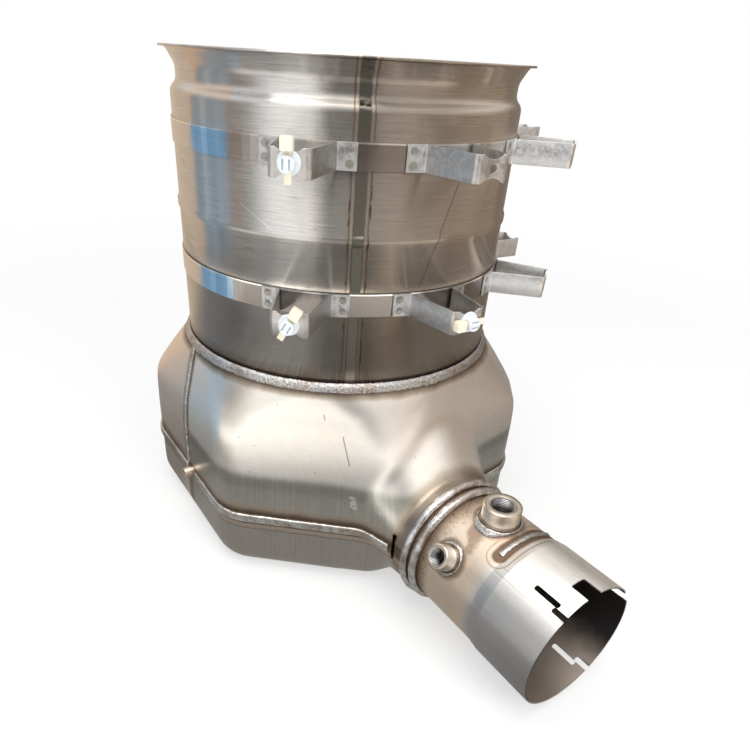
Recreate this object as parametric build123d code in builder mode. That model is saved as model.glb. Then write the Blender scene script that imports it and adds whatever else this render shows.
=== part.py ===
from build123d import *
import os
from math import asin, cos, degrees, radians, sin, sqrt, tan

# Exhaust filter module of a diesel engine. An upright stainless drum holds a honeycomb
# filter and stands on a pressed collector housing, whose outlet pipe leaves to one side.
# The origin lies on the drum's axis, at the flat base. +X is the way the pipe leaves.

# Drum: a rolled and seam-welded sheet with a rib, a stepped neck and a flared clamp rim.
# Heights are measured from the drum's foot, which stands inside the housing's ring.
drum_r = 138.5
drum_wall = 1.5
drum_insert = 11.0
drum_body_length = 206.5
neck_step = 5.0
neck_rise = 5.6
neck_length = 15.5
flare_height = 12.5
flare_step = 0.3
rim_edge = 3.0
rim_reach = 6.0
rim_flat = 4.5
fold_r = 4.0
flare_fold_r = 8.0
rib_rise = 125.4
rib_height = 6.0
rib_proud = 1.3
rib_shoulder = 1.0
rib_fold_r = 1.0
seam_angle = -28.4
seam_width = 7.0
seam_proud = 0.3
seam_top_rise = 6.5

# Filter brick and the mat that holds it
mat_thickness = 3.65
mat_length = 138.0
mat_clearance = 0.05
brick_length = 152.4
brick_rise = 33.0

# Straps round the drum, and the hat-shaped carriers welded to them
strap_height = 17.0
strap_thickness = 0.8
strap_clearance = 0.35
upper_strap_rise = 170.8
lower_strap_rise = 71.3
carrier_angles = (-43.3, -3.3, 36.7, 76.7)
carrier_sheet = 1.4
carrier_seat = 0.1
carrier_standoff = 45.0
plate_half_width = 12.5
root_angle = 7.8
tab_angle = 13.4
bend_r = 3.0
carrier_hole_r = 2.75
notch_depth = 3.0
notch_half_width = 8.5
spot_angle = 11.4
spot_spacing = 8.6
spot_r = 2.3
spot_depth = 0.25

# Push-in cable clips on three of the carriers, each with a cut cable tie
clip_disc_r = 7.5
clip_disc_height = 1.8
clip_disc_taper = 20
clip_head_r = 4.9
clip_head_height = 5.4
clip_pin_r = 2.6
clip_pin_length = 8.5
clip_barb_r = 3.3
clip_barb_height = 0.7
clip_barb_spacing = 2.2
clip_barb_taper = 25
clip_barbs = 3
clip_slot_width = 1.1
clip_slot_length = 6.0
clip_slot_depth = 1.6
clip_slot_offset = 2.0
tie_width = 4.6
tie_thickness = 1.2
tie_clearance = 0.2
tie_tail = 11.5
tie_neck = 7.0
tie_head_length = 8.0
tie_head_width = 7.6
tie_head_height = 5.4

# Collector housing: sheet pressings, an eight-sided plan that rises to the drum's ring.
# Each shoulder is how far a wall stands out beyond the ring.
sheet = 2.0
housing_turn = 49.1
ring_z = 185.0
ring_clearance = 0.5
joint_z = 60.0
crease_ease = 6.0
ease_drop = 31.0
plan_corner_r = 40.0
corner_fade = 60.0
ring_flat = 1.0
pan_edge_r = 24.0
front_shoulder = 17.0
front_crease_z = 109.0
chamfer_shoulder = 16.0
end_shoulder = 41.0
side_crease_z = 131.0
chamfer_turn = 40.9
roof_drops = (0, 7, 15, 31, 45, 59, 75, 95)
side_joint_x = -10.0

# Neck where the housing flows into the pipe
pipe_z = 60.0
neck_sink = 39.0
neck_half_width = 76.0
neck_half_height = 92.0
neck_root_z = 93.0
neck_reach = 28.0
collar_length = 12.0
tear_back = 4.0
tear_width = 3.0
tear_below = 9.0
tear_above = 18.0

# Weld beads
ring_weld_rise = 6.0
ring_weld_toe = 0.7
ring_weld_drop = 1.8
ring_weld_belly = 0.9
ring_weld_clearance = 0.3
joint_weld_width = 5.5
joint_weld_stop = 6.0
side_weld_width = 7.0
side_weld_gap = 5.25
seam_weld_proud = 2.2
neck_weld_reach = 3.6
neck_weld_proud = 2.6

# Outlet pipe with its joining sleeve and slotted slip end
pipe_r = 50.8
pipe_wall = 1.6
pipe_seat = 2.0
pipe_length = 141.1
slip_step = 1.6
slip_length = 60.1
slip_ease = 10.0
sleeve_clearance = 0.2
sleeve_wall = 2.0
sleeve_length = 19.0
pipe_bend_r = 5.0

# Slots in the slip end, angles from the top towards -Y
wide_slot_angles = (2.2, -60.0)
wide_slot_width = 13.3
wide_slot_depth = 14.2
slot_corner_r = 1.5
slot_flat = 0.1
key_slot_angles = (28.2, 208.2)
key_slot_width = 4.2
key_slot_depth = 29.7
key_mouth_turn = 4.5
key_mouth_depth = 11.0
key_step = 2.5

# Sensor bosses and the plug weld on the pipe, placed along it from its hidden end
large_boss_along = 52.0
large_boss_angle = 0.0
large_boss_r = 14.8
large_bore_r = 9.2
small_boss_along = 46.5
small_boss_angle = 58.0
small_boss_r = 9.9
small_bore_r = 6.2
boss_height = 15.0
boss_edge = 0.8
bore_edge = 0.6
boss_foot_width = 1.2
boss_foot_height = 2.6
boss_weld_width = 1.8
boss_weld_height = 1.9
boss_weld_edge = 0.3
boss_root = 0.5
plug_weld_along = 77.0
plug_weld_width = 6.0
plug_weld_proud = 1.4
plug_weld_start = -35.0
plug_weld_turn = 62.0

# Small pressure stub in the left wall
stub_x = -3.0
stub_r = 5.0
stub_bore_r = 3.2
stub_length = 16.0
stub_proud = 8.0
stub_clearance = 0.1
stub_weld_gap = 3.0

# Worked-out sizes of the drum and what it carries
drum_foot_z = ring_z - drum_insert
drum_step_z = drum_foot_z + drum_body_length
flare_z = drum_step_z + neck_length
rim_z = flare_z + flare_height
neck_r = drum_r - neck_step
rim_root_r = drum_r + flare_step
rim_r = drum_r + rim_reach
rib_z = drum_foot_z + rib_rise
seam_top_z = flare_z + seam_top_rise
brick_r = drum_r - drum_wall - mat_thickness
brick_foot_z = drum_foot_z + brick_rise
strap_inner_r = drum_r + strap_clearance
strap_outer_r = strap_inner_r + strap_thickness
upper_strap_z = drum_foot_z + upper_strap_rise
lower_strap_z = drum_foot_z + lower_strap_rise
carrier_mid_r = strap_outer_r + carrier_seat + carrier_sheet / 2
plate_r = drum_r + carrier_standoff - carrier_sheet / 2
tie_channel = tie_thickness + 2 * tie_clearance

# Worked-out sizes of the housing and the pipe
ring_inner_r = drum_r + ring_clearance
ring_r = ring_inner_r + sheet
ring_weld_z = ring_z + ring_weld_rise
front_wall = ring_r + front_shoulder
chamfer_wall = ring_r + chamfer_shoulder
end_wall = ring_r + end_shoulder
level_drops = (*roof_drops, ring_z - joint_z)
neck_root_x = chamfer_wall - neck_sink
collar_x = chamfer_wall + neck_reach
collar_end_x = collar_x + collar_length
pipe_start_x = collar_x + pipe_seat
pipe_end_x = pipe_start_x + pipe_length
slip_start_x = pipe_end_x - slip_length
slip_r = pipe_r + slip_step
sleeve_end_x = pipe_start_x + sleeve_length
sleeve_inner_r = pipe_r + sleeve_clearance
sleeve_r = sleeve_inner_r + sleeve_wall
collar_r = sleeve_r + sheet
large_boss_x = pipe_start_x + large_boss_along
small_boss_x = pipe_start_x + small_boss_along
plug_weld_x = pipe_start_x + plug_weld_along
stub_tip_y = -chamfer_wall - stub_proud

pipe_axis = Axis((0, 0, pipe_z), (1, 0, 0))


def upright_plane(angle):
    """Section plane through the drum's axis: local x runs outwards, local y is up."""
    a = radians(angle)
    return Plane(origin=(0, 0, 0), x_dir=(cos(a), sin(a), 0), z_dir=(sin(a), -cos(a), 0))


def outward_plane(angle, r, z, turn=0.0):
    """Plane that faces away from the drum's axis, local y up unless it is turned."""
    a = radians(angle)
    t = radians(turn)
    across = (-sin(a) * cos(t), cos(a) * cos(t), sin(t))
    return Plane(origin=(r * cos(a), r * sin(a), z), x_dir=across, z_dir=(cos(a), sin(a), 0))


def pipe_radial_plane(x, angle):
    """Plane on the pipe's axis that faces outwards, local x along the pipe."""
    a = radians(angle)
    return Plane(origin=(x, 0, pipe_z), x_dir=(1, 0, 0), z_dir=(0, -sin(a), cos(a)))


def pipe_section_plane(angle):
    """Section plane through the pipe's axis: local x along it, local y outwards."""
    a = radians(angle)
    return Plane(origin=(0, 0, pipe_z), x_dir=(1, 0, 0), z_dir=(0, -cos(a), -sin(a)))


def finish(piece, name):
    """Name a finished piece and write its file."""
    piece.part.label = name
    export_step(piece.part, f"parts/{name}.step")


os.makedirs("parts", exist_ok=True)

# Drum


def drum_profile(skin):
    """Outline of the drum's sheet from foot to rim, moved outwards by skin."""
    rib_low = rib_z - rib_height / 2
    rib_high = rib_z + rib_height / 2
    rib_r = drum_r + rib_proud + skin
    r = drum_r + skin
    return [
        (r, drum_foot_z),
        (r, rib_low - rib_shoulder),
        (rib_r, rib_low + rib_shoulder),
        (rib_r, rib_high - rib_shoulder),
        (r, rib_high + rib_shoulder),
        (r, drum_step_z),
        (neck_r + skin, drum_step_z + neck_rise),
        (neck_r + skin, flare_z),
        (rim_root_r + skin, rim_z - rim_edge),
    ]


fold_radii = [rib_fold_r] * 4 + [fold_r, fold_r, flare_fold_r]

with BuildPart() as drum_shell:
    with BuildSketch(Plane.XZ):
        with BuildLine():
            middle = drum_profile(-drum_wall / 2)
            rim_mid_z = rim_z - drum_wall / 2
            rim_points = ((rim_r - rim_flat, rim_mid_z), (rim_r, rim_mid_z))
            FilletPolyline(*middle, *rim_points, radius=fold_radii + [fold_r, fold_r])
        trace(line_width=drum_wall)
    revolve(axis=Axis.Z)
finish(drum_shell, "drum_shell")

with BuildPart() as drum_seam_weld:
    with BuildSketch(upright_plane(seam_angle - degrees(seam_width / drum_r) / 2)):
        with BuildLine():
            FilletPolyline(*drum_profile(seam_proud / 2), radius=fold_radii)
        trace(line_width=seam_proud)
    revolve(axis=Axis.Z, revolution_arc=degrees(seam_width / drum_r))
    split(bisect_by=Plane.XY.offset(ring_weld_z), keep=Keep.TOP)
    split(bisect_by=Plane.XY.offset(seam_top_z), keep=Keep.BOTTOM)
    add(drum_shell.part, mode=Mode.SUBTRACT)
finish(drum_seam_weld, "drum_seam_weld")

# Filter brick and mat

with BuildPart() as filter_brick:
    with BuildSketch(Plane.XY.offset(brick_foot_z)):
        Circle(brick_r)
    extrude(amount=brick_length)
finish(filter_brick, "filter_brick")

with BuildPart() as support_mat:
    with BuildSketch(Plane.XY.offset(brick_foot_z + (brick_length - mat_length) / 2)):
        Circle(drum_r - drum_wall - mat_clearance)
        Circle(brick_r + mat_clearance, mode=Mode.SUBTRACT)
    extrude(amount=mat_length)
finish(support_mat, "support_mat")

# Straps

for name, strap_z in (("lower_strap", lower_strap_z), ("upper_strap", upper_strap_z)):
    with BuildPart() as strap:
        with BuildSketch(Plane.XY.offset(strap_z)):
            Circle(strap_outer_r)
            Circle(strap_inner_r, mode=Mode.SUBTRACT)
        extrude(amount=strap_height)
    finish(strap, name)

# Carriers: one sheet strip folded to a hat, with a notched front plate


def carrier_path():
    """Middle line of the folded strip, with x outwards from the drum and y along it."""
    tab_mid = (root_angle + tab_angle) / 2
    tab_half = carrier_mid_r * tan(radians(tab_angle - root_angle) / 2)
    side = []
    for along in (tab_half, -tab_half):
        x = carrier_mid_r * cos(radians(tab_mid)) - along * sin(radians(tab_mid))
        y = carrier_mid_r * sin(radians(tab_mid)) + along * cos(radians(tab_mid))
        side.append((x, y))
    side.append((plate_r, plate_half_width))
    return [(x, -y) for x, y in side] + side[::-1]


def build_carrier(angle, strap_z):
    """One carrier at its angle round the drum, as tall as the strap."""
    middle_z = strap_z + strap_height / 2
    notch_r = (notch_half_width**2 + notch_depth**2) / (2 * notch_depth)
    a = radians(angle)
    with BuildPart() as carrier:
        with BuildSketch(Plane(origin=(0, 0, strap_z), x_dir=(cos(a), sin(a), 0), z_dir=(0, 0, 1))):
            with BuildLine():
                FilletPolyline(*carrier_path(), radius=bend_r)
            trace(line_width=carrier_sheet)
        extrude(amount=strap_height)
        with BuildSketch(outward_plane(angle, plate_r - carrier_sheet, middle_z)):
            Circle(carrier_hole_r)
            notch_y = strap_height / 2 + notch_r - notch_depth
            with Locations((0, notch_y), (0, -notch_y)):
                Circle(notch_r)
        extrude(amount=2 * carrier_sheet, mode=Mode.SUBTRACT)
        for side in (-spot_angle, spot_angle):
            spot_floor_r = carrier_mid_r + carrier_sheet / 2 - spot_depth
            with BuildSketch(outward_plane(angle + side, spot_floor_r, middle_z)):
                with GridLocations(0, spot_spacing, 1, 2):
                    Circle(spot_r)
            extrude(amount=carrier_sheet, mode=Mode.SUBTRACT)
    return carrier


for number, carrier_angle in enumerate(carrier_angles, 1):
    finish(build_carrier(carrier_angle, upper_strap_z), f"upper_carrier_{number}")
    finish(build_carrier(carrier_angle, lower_strap_z), f"lower_carrier_{number}")

# Cable clips and their ties


def build_clip(plane):
    """A push-in clip: disc, slotted saddle head and a barbed pin through the plate."""
    with BuildPart() as clip:
        with BuildSketch(plane):
            Circle(clip_disc_r)
        extrude(amount=clip_disc_height, taper=clip_disc_taper)
        with BuildSketch(plane.offset(clip_disc_height)):
            Circle(clip_head_r)
        extrude(amount=clip_head_height)
        fillet(clip.faces().sort_by(Axis(plane.origin, plane.z_dir))[-1].edges(), clip_slot_width / 2)
        with BuildSketch(plane.offset(clip_disc_height + clip_head_height)):
            with GridLocations(2 * clip_slot_offset, 0, 2, 1):
                Rectangle(clip_slot_width, clip_slot_length)
        extrude(amount=-clip_slot_depth, mode=Mode.SUBTRACT)
        with BuildSketch(plane.offset(clip_disc_height)):
            Rectangle(tie_width + 2 * tie_clearance, 4 * clip_head_r)
        extrude(amount=tie_channel, mode=Mode.SUBTRACT)
        with BuildSketch(plane):
            Circle(clip_pin_r)
        extrude(amount=-clip_pin_length)
        for step in range(1, clip_barbs + 1):
            barb_z = clip_barb_height - carrier_sheet - step * clip_barb_spacing
            with BuildSketch(plane.offset(barb_z)):
                Circle(clip_barb_r)
            extrude(amount=-clip_barb_height, taper=clip_barb_taper)
    return clip


def build_tie(plane):
    """A cable tie cut short: a strap through the clip's channel and its ratchet head."""
    strap_mid = clip_disc_height + tie_channel / 2
    strap_length = tie_tail + tie_neck + tie_head_length / 2
    with BuildPart() as tie:
        with BuildSketch(plane.offset(strap_mid - tie_thickness / 2)):
            with Locations((0, tie_neck + tie_head_length / 2 - strap_length / 2)):
                Rectangle(tie_width, strap_length)
        extrude(amount=tie_thickness)
        with BuildSketch(plane.offset(strap_mid - tie_thickness / 2)):
            with Locations((0, tie_neck + tie_head_length / 2)):
                RectangleRounded(tie_head_width, tie_head_length, tie_thickness)
        extrude(amount=tie_head_height)
        fillet(tie.faces().sort_by(Axis(plane.origin, plane.z_dir))[-1].edges(), tie_thickness / 2)
    return tie


clip_places = (
    ("upper_clip", "upper_tie", carrier_angles[0], upper_strap_z, 0),
    ("lower_clip_1", "lower_tie_1", carrier_angles[0], lower_strap_z, -30),
    ("lower_clip_2", "lower_tie_2", carrier_angles[1], lower_strap_z, 90),
)
for clip_name, tie_name, clip_angle, clip_strap_z, tie_turn in clip_places:
    face_r = plate_r + carrier_sheet / 2
    clip_plane = outward_plane(clip_angle, face_r, clip_strap_z + strap_height / 2, tie_turn)
    finish(build_clip(clip_plane), clip_name)
    finish(build_tie(clip_plane), tie_name)

# Collector housing

half_angles = [0, chamfer_turn, 90, 180 - chamfer_turn]
wall_angles = half_angles + [180 + angle for angle in half_angles] + [360]
end_size = (end_wall, side_crease_z)
chamfer_size = (chamfer_wall, side_crease_z)
front_size = (front_wall, front_crease_z)
wall_sizes = [end_size, chamfer_size, front_size, chamfer_size] * 2 + [end_size]


def wall_distance(drop, wall, crease_z):
    """How far a wall stands from the drum's axis, this far below the ring."""
    roof = ring_r + (wall - ring_r) * drop / (ring_z - crease_z)
    gap = roof - wall
    ease = crease_ease * min(1.0, drop / ease_drop)
    return wall + (gap - sqrt(gap**2 + ease**2)) / 2


def corner_centre(angle_a, reach_a, angle_b, reach_b):
    """Where two lines meet, each given by the angle of its normal and its reach."""
    a = radians(angle_a)
    b = radians(angle_b)
    turn = sin(b - a)
    return ((reach_a * sin(b) - reach_b * sin(a)) / turn, (reach_b * cos(a) - reach_a * cos(b)) / turn)


def level_outline(drop, grow):
    """The housing's plan at one level: eight walls and eight round corners."""
    fade = max(0.0, 1 - drop / corner_fade)
    corner_r = plan_corner_r + (ring_r - ring_flat - plan_corner_r) * fade**2 + grow
    reaches = [wall_distance(drop, wall, crease_z) + grow for wall, crease_z in wall_sizes]
    centres = []
    for i in range(8):
        inner_a = reaches[i] - corner_r
        inner_b = reaches[i + 1] - corner_r
        centres.append(corner_centre(wall_angles[i], inner_a, wall_angles[i + 1], inner_b))
    for i in range(8):
        after = centres[(i + 1) % 8]
        a = radians(wall_angles[i + 1])
        rim = (corner_r * cos(a), corner_r * sin(a))
        CenterArc(centres[i], corner_r, wall_angles[i], wall_angles[i + 1] - wall_angles[i])
        Line((centres[i][0] + rim[0], centres[i][1] + rim[1]), (after[0] + rim[0], after[1] + rim[1]))


def level_plane(drop):
    """Level of the housing, its x along the long side."""
    t = radians(housing_turn)
    return Plane(origin=(0, 0, ring_z - drop), x_dir=(cos(t), sin(t), 0), z_dir=(0, 0, 1))


def housing_form(grow):
    """The housing's outer form, grown by some sheet or weld thickness."""
    with BuildPart() as form:
        for drop in level_drops:
            with BuildSketch(level_plane(drop)):
                with BuildLine():
                    level_outline(drop, grow)
                make_face()
        loft()
        with BuildSketch(level_plane(level_drops[-1])):
            with BuildLine():
                level_outline(level_drops[-1], grow)
            make_face()
        extrude(amount=-(joint_z + grow))
        fillet(form.edges().group_by(Axis.Z)[0], pan_edge_r + grow)
    return form.part


def neck_form(grow, end_x):
    """The neck: an oval that narrows to the collar, grown like the housing."""
    with BuildPart() as form:
        with BuildSketch(Plane(origin=(neck_root_x, 0, neck_root_z), x_dir=(0, 1, 0), z_dir=(1, 0, 0))):
            Ellipse(neck_half_width + grow, neck_half_height + grow)
        with BuildSketch(Plane(origin=(collar_x, 0, pipe_z), x_dir=(0, 1, 0), z_dir=(1, 0, 0))):
            Circle(collar_r + grow)
        loft()
        with BuildSketch(Plane(origin=(collar_x, 0, pipe_z), x_dir=(0, 1, 0), z_dir=(1, 0, 0))):
            Circle(collar_r + grow)
        extrude(amount=end_x - collar_x)
    return form.part


def stub_cylinder(r, length):
    """A bar along the stub's axis, inwards from its tip."""
    with BuildPart() as bar:
        with BuildSketch(Plane(origin=(stub_x, stub_tip_y, joint_z), x_dir=(1, 0, 0), z_dir=(0, 1, 0))):
            Circle(r)
        extrude(amount=length)
    return bar.part


outer_form = housing_form(0) + neck_form(0, collar_end_x)

with BuildPart() as housing:
    add(outer_form)
    add(housing_form(-sheet), mode=Mode.SUBTRACT)
    add(neck_form(-sheet, collar_end_x + sheet), mode=Mode.SUBTRACT)
    add(stub_cylinder(stub_r + stub_clearance, stub_length + sheet), mode=Mode.SUBTRACT)
    with BuildSketch(Plane.XZ.offset(collar_r - 2 * sheet)):
        with Locations((collar_x - tear_back + tear_width / 2, joint_z + (tear_above - tear_below) / 2)):
            RectangleRounded(tear_width, tear_above + tear_below, tear_width / 3)
    extrude(amount=4 * sheet, mode=Mode.SUBTRACT)

joint_plane = Plane.XY.offset(joint_z)
side_plane = Plane(origin=(side_joint_x, 0, 0), z_dir=(1, 0, 0))

with BuildPart() as front_shell:
    add(housing.part)
    split(bisect_by=joint_plane, keep=Keep.TOP)
    split(bisect_by=side_plane, keep=Keep.TOP)
finish(front_shell, "front_shell")

with BuildPart() as rear_shell:
    add(housing.part)
    split(bisect_by=joint_plane, keep=Keep.TOP)
    split(bisect_by=side_plane, keep=Keep.BOTTOM)
finish(rear_shell, "rear_shell")

with BuildPart() as bottom_pan:
    add(housing.part)
    split(bisect_by=joint_plane, keep=Keep.BOTTOM)
finish(bottom_pan, "bottom_pan")

with BuildPart() as pressure_stub:
    add(stub_cylinder(stub_r, stub_length))
    add(stub_cylinder(stub_bore_r, stub_length), mode=Mode.SUBTRACT)
finish(pressure_stub, "pressure_stub")

# Weld beads on the housing

roof_slope = (end_wall - ring_r) / (ring_z - side_crease_z)
weld_foot_z = ring_z - ring_weld_drop
weld_foot_r = ring_r + roof_slope * ring_weld_drop + ring_weld_clearance

with BuildPart() as ring_weld:
    with BuildSketch(Plane.XZ):
        with BuildLine():
            toe = (weld_foot_r + ring_weld_toe, weld_foot_z)
            crown = (drum_r, ring_weld_z)
            belly = ((toe[0] + crown[0]) / 2 + ring_weld_belly, (toe[1] + crown[1]) / 2 + ring_weld_belly)
            ThreePointArc(toe, belly, crown)
            ring_corner = (ring_r + ring_weld_clearance, ring_z)
            Polyline(crown, (drum_r, ring_z), ring_corner, (weld_foot_r, weld_foot_z), toe)
        make_face()
    revolve(axis=Axis.Z)
finish(ring_weld, "ring_weld")

weld_skin = housing_form(seam_weld_proud) + neck_form(seam_weld_proud, collar_end_x) - outer_form


def seam_bead(low, high):
    """The part of the weld skin inside the box between two corners, clear of the stub."""
    with BuildPart() as bead:
        add(weld_skin)
        size = [b - a for a, b in zip(low, high)]
        with Locations(tuple((a + b) / 2 for a, b in zip(low, high))):
            Box(*size, mode=Mode.INTERSECT)
        add(stub_cylinder(stub_r + stub_weld_gap, 2 * stub_length), mode=Mode.SUBTRACT)
    return bead


side_low_x = side_joint_x - side_weld_width / 2
side_high_x = side_joint_x + side_weld_width / 2
joint_low_z = joint_z - joint_weld_width / 2
joint_high_z = joint_z + joint_weld_width / 2
far = 2 * end_wall
left_low = (side_low_x, -far, joint_high_z + side_weld_gap)
finish(seam_bead(left_low, (side_high_x, 0, weld_foot_z)), "left_seam_weld")
finish(seam_bead((side_low_x, 0, joint_high_z), (side_high_x, far, weld_foot_z)), "right_seam_weld")
joint_high = (collar_x - joint_weld_stop, far, joint_high_z)
finish(seam_bead((-far, -far, joint_low_z), joint_high), "joint_weld")

# Outlet pipe and the sleeve that joins it to the collar

with BuildPart() as neck_sleeve:
    with BuildSketch(Plane(origin=(pipe_start_x, 0, pipe_z), x_dir=(0, 1, 0), z_dir=(1, 0, 0))):
        Circle(sleeve_r)
        Circle(sleeve_inner_r, mode=Mode.SUBTRACT)
    extrude(amount=sleeve_length)
finish(neck_sleeve, "neck_sleeve")


def edge_weld(edge_x, outer_r, inner_r):
    """A bead over the end of an outer tube, down onto the tube inside it."""
    with BuildPart() as bead:
        with BuildSketch(pipe_section_plane(0)):
            with BuildLine():
                start = (edge_x - neck_weld_reach, outer_r)
                end = (edge_x + neck_weld_reach, inner_r)
                ThreePointArc(start, (edge_x, outer_r + neck_weld_proud), end)
                Polyline(end, (edge_x, inner_r), (edge_x, outer_r), start)
            make_face()
        revolve(axis=pipe_axis)
    return bead


finish(edge_weld(collar_end_x, collar_r, sleeve_r), "inner_neck_weld")
finish(edge_weld(sleeve_end_x, sleeve_r, pipe_r), "outer_neck_weld")


def slot_cutter(angle, depth, width, start=0.0):
    """Bar that cuts a slot through one side of the slip end, round at its inner end."""
    reach = depth - start
    rounding = min(slot_corner_r, width / 2 - slot_flat)
    with BuildPart() as cutter:
        with BuildSketch(pipe_radial_plane(pipe_end_x, angle)):
            with Locations((-start - reach / 2, 0)):
                RectangleRounded(reach, width, rounding)
            if start == 0:
                with Locations((-reach / 4, 0)):
                    Rectangle(reach / 2, width)
        extrude(amount=2 * slip_r)
    return cutter.part


def bore_cutter(x, angle, r):
    """Bar that cuts a round hole through one side of the pipe."""
    with BuildPart() as cutter:
        with BuildSketch(pipe_radial_plane(x, angle)):
            Circle(r)
        extrude(amount=2 * pipe_r)
    return cutter.part


with BuildPart() as outlet_pipe:
    with BuildSketch(pipe_section_plane(0)):
        with BuildLine():
            tube_mid = pipe_r - pipe_wall / 2
            slip_mid = slip_r - pipe_wall / 2
            FilletPolyline(
                (pipe_start_x, tube_mid),
                (slip_start_x, tube_mid),
                (slip_start_x + slip_ease, slip_mid),
                (pipe_end_x, slip_mid),
                radius=pipe_bend_r,
            )
        trace(line_width=pipe_wall)
    revolve(axis=pipe_axis)
    for slot_angle in wide_slot_angles:
        add(slot_cutter(slot_angle, wide_slot_depth, wide_slot_width), mode=Mode.SUBTRACT)
    for slot_angle in key_slot_angles:
        elbow = key_mouth_depth - key_step
        mouth_angle = slot_angle + key_mouth_turn
        add(slot_cutter(slot_angle, key_slot_depth, key_slot_width, elbow), mode=Mode.SUBTRACT)
        add(slot_cutter(mouth_angle, key_mouth_depth, key_slot_width), mode=Mode.SUBTRACT)
    add(bore_cutter(large_boss_x, large_boss_angle, large_bore_r), mode=Mode.SUBTRACT)
    add(bore_cutter(small_boss_x, small_boss_angle, small_bore_r), mode=Mode.SUBTRACT)
finish(outlet_pipe, "outlet_pipe")


def pipe_bar(x, half_length, r):
    """A round bar on the pipe's axis, centred at x."""
    with BuildPart() as bar:
        with BuildSketch(Plane(origin=(x, 0, pipe_z), x_dir=(0, 1, 0), z_dir=(1, 0, 0))):
            Circle(r)
        extrude(amount=half_length, both=True)
    return bar.part


def build_boss(x, angle, r, bore_r):
    """A turned boss with a foot, saddled to the pipe, with a threaded bore right through."""
    foot_r = r + boss_foot_width
    root = sqrt(pipe_r**2 - foot_r**2) - boss_root
    plane = pipe_radial_plane(x, angle)
    with BuildPart() as boss:
        with BuildSketch(plane.offset(root)):
            Circle(r)
        extrude(amount=pipe_r + boss_height - root)
        top = boss.faces().sort_by(Axis(plane.origin, plane.z_dir))[-1]
        chamfer(top.edges(), boss_edge)
        with BuildSketch(plane.offset(root)):
            Circle(bore_r)
        extrude(amount=pipe_r + boss_height - root, mode=Mode.SUBTRACT)
        top = boss.faces().sort_by(Axis(plane.origin, plane.z_dir))[-1]
        chamfer(top.edges().sort_by(SortBy.LENGTH)[0], bore_edge)
        with BuildSketch(plane.offset(root)):
            Circle(foot_r)
            Circle(r - boss_root, mode=Mode.SUBTRACT)
        extrude(amount=pipe_r + boss_foot_height - root)
        add(pipe_bar(x, 2 * foot_r, pipe_r), mode=Mode.SUBTRACT)
    return boss


def build_boss_weld(x, angle, r):
    """The fillet weld round a boss's foot, on the pipe's curved wall."""
    foot_r = r + boss_foot_width
    root = sqrt(pipe_r**2 - (foot_r + boss_weld_width) ** 2) - boss_root
    spread = (boss_weld_width - boss_weld_edge) / boss_weld_height
    rise = pipe_r + boss_weld_height - root
    plane = pipe_radial_plane(x, angle)
    with BuildPart() as weld:
        with BuildSketch(plane.offset(root)):
            Circle(foot_r + boss_weld_edge + rise * spread)
        extrude(amount=rise, taper=degrees(asin(spread / sqrt(1 + spread**2))))
        with BuildSketch(plane.offset(root)):
            Circle(foot_r)
        extrude(amount=rise, mode=Mode.SUBTRACT)
        add(pipe_bar(x, 2 * foot_r, pipe_r), mode=Mode.SUBTRACT)
    return weld


finish(build_boss(large_boss_x, large_boss_angle, large_boss_r, large_bore_r), "large_sensor_boss")
finish(build_boss_weld(large_boss_x, large_boss_angle, large_boss_r), "large_boss_weld")
finish(build_boss(small_boss_x, small_boss_angle, small_boss_r, small_bore_r), "small_sensor_boss")
finish(build_boss_weld(small_boss_x, small_boss_angle, small_boss_r), "small_boss_weld")

with BuildPart() as plug_weld:
    with BuildSketch(pipe_section_plane(plug_weld_start)):
        with BuildLine():
            left = (plug_weld_x - plug_weld_width / 2, pipe_r)
            right = (plug_weld_x + plug_weld_width / 2, pipe_r)
            ThreePointArc(left, (plug_weld_x, pipe_r + plug_weld_proud), right)
            Line(right, left)
        make_face()
    revolve(axis=pipe_axis, revolution_arc=plug_weld_turn)
finish(plug_weld, "plug_weld")
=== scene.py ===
import math

import bmesh
import bpy
from mathutils import Matrix, Vector, noise


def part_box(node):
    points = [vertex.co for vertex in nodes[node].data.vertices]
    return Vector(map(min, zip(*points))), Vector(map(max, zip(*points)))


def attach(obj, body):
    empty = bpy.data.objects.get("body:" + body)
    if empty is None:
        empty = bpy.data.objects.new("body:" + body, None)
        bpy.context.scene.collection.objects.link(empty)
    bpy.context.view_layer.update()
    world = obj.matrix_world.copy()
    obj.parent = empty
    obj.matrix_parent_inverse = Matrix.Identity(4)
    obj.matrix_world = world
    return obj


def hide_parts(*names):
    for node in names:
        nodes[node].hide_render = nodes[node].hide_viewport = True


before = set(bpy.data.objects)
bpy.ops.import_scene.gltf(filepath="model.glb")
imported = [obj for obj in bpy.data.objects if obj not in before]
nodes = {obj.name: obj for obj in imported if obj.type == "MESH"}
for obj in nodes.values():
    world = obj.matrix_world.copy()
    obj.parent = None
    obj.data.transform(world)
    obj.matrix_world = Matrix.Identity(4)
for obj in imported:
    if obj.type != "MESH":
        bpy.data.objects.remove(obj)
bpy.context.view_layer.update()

# Drum
# A sheet of stainless steel, rolled round and seam-welded, with a shallow rolled rib and a
# stepped neck. Its rim is spun outwards to a thin lip that a band clamp grips.

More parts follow.
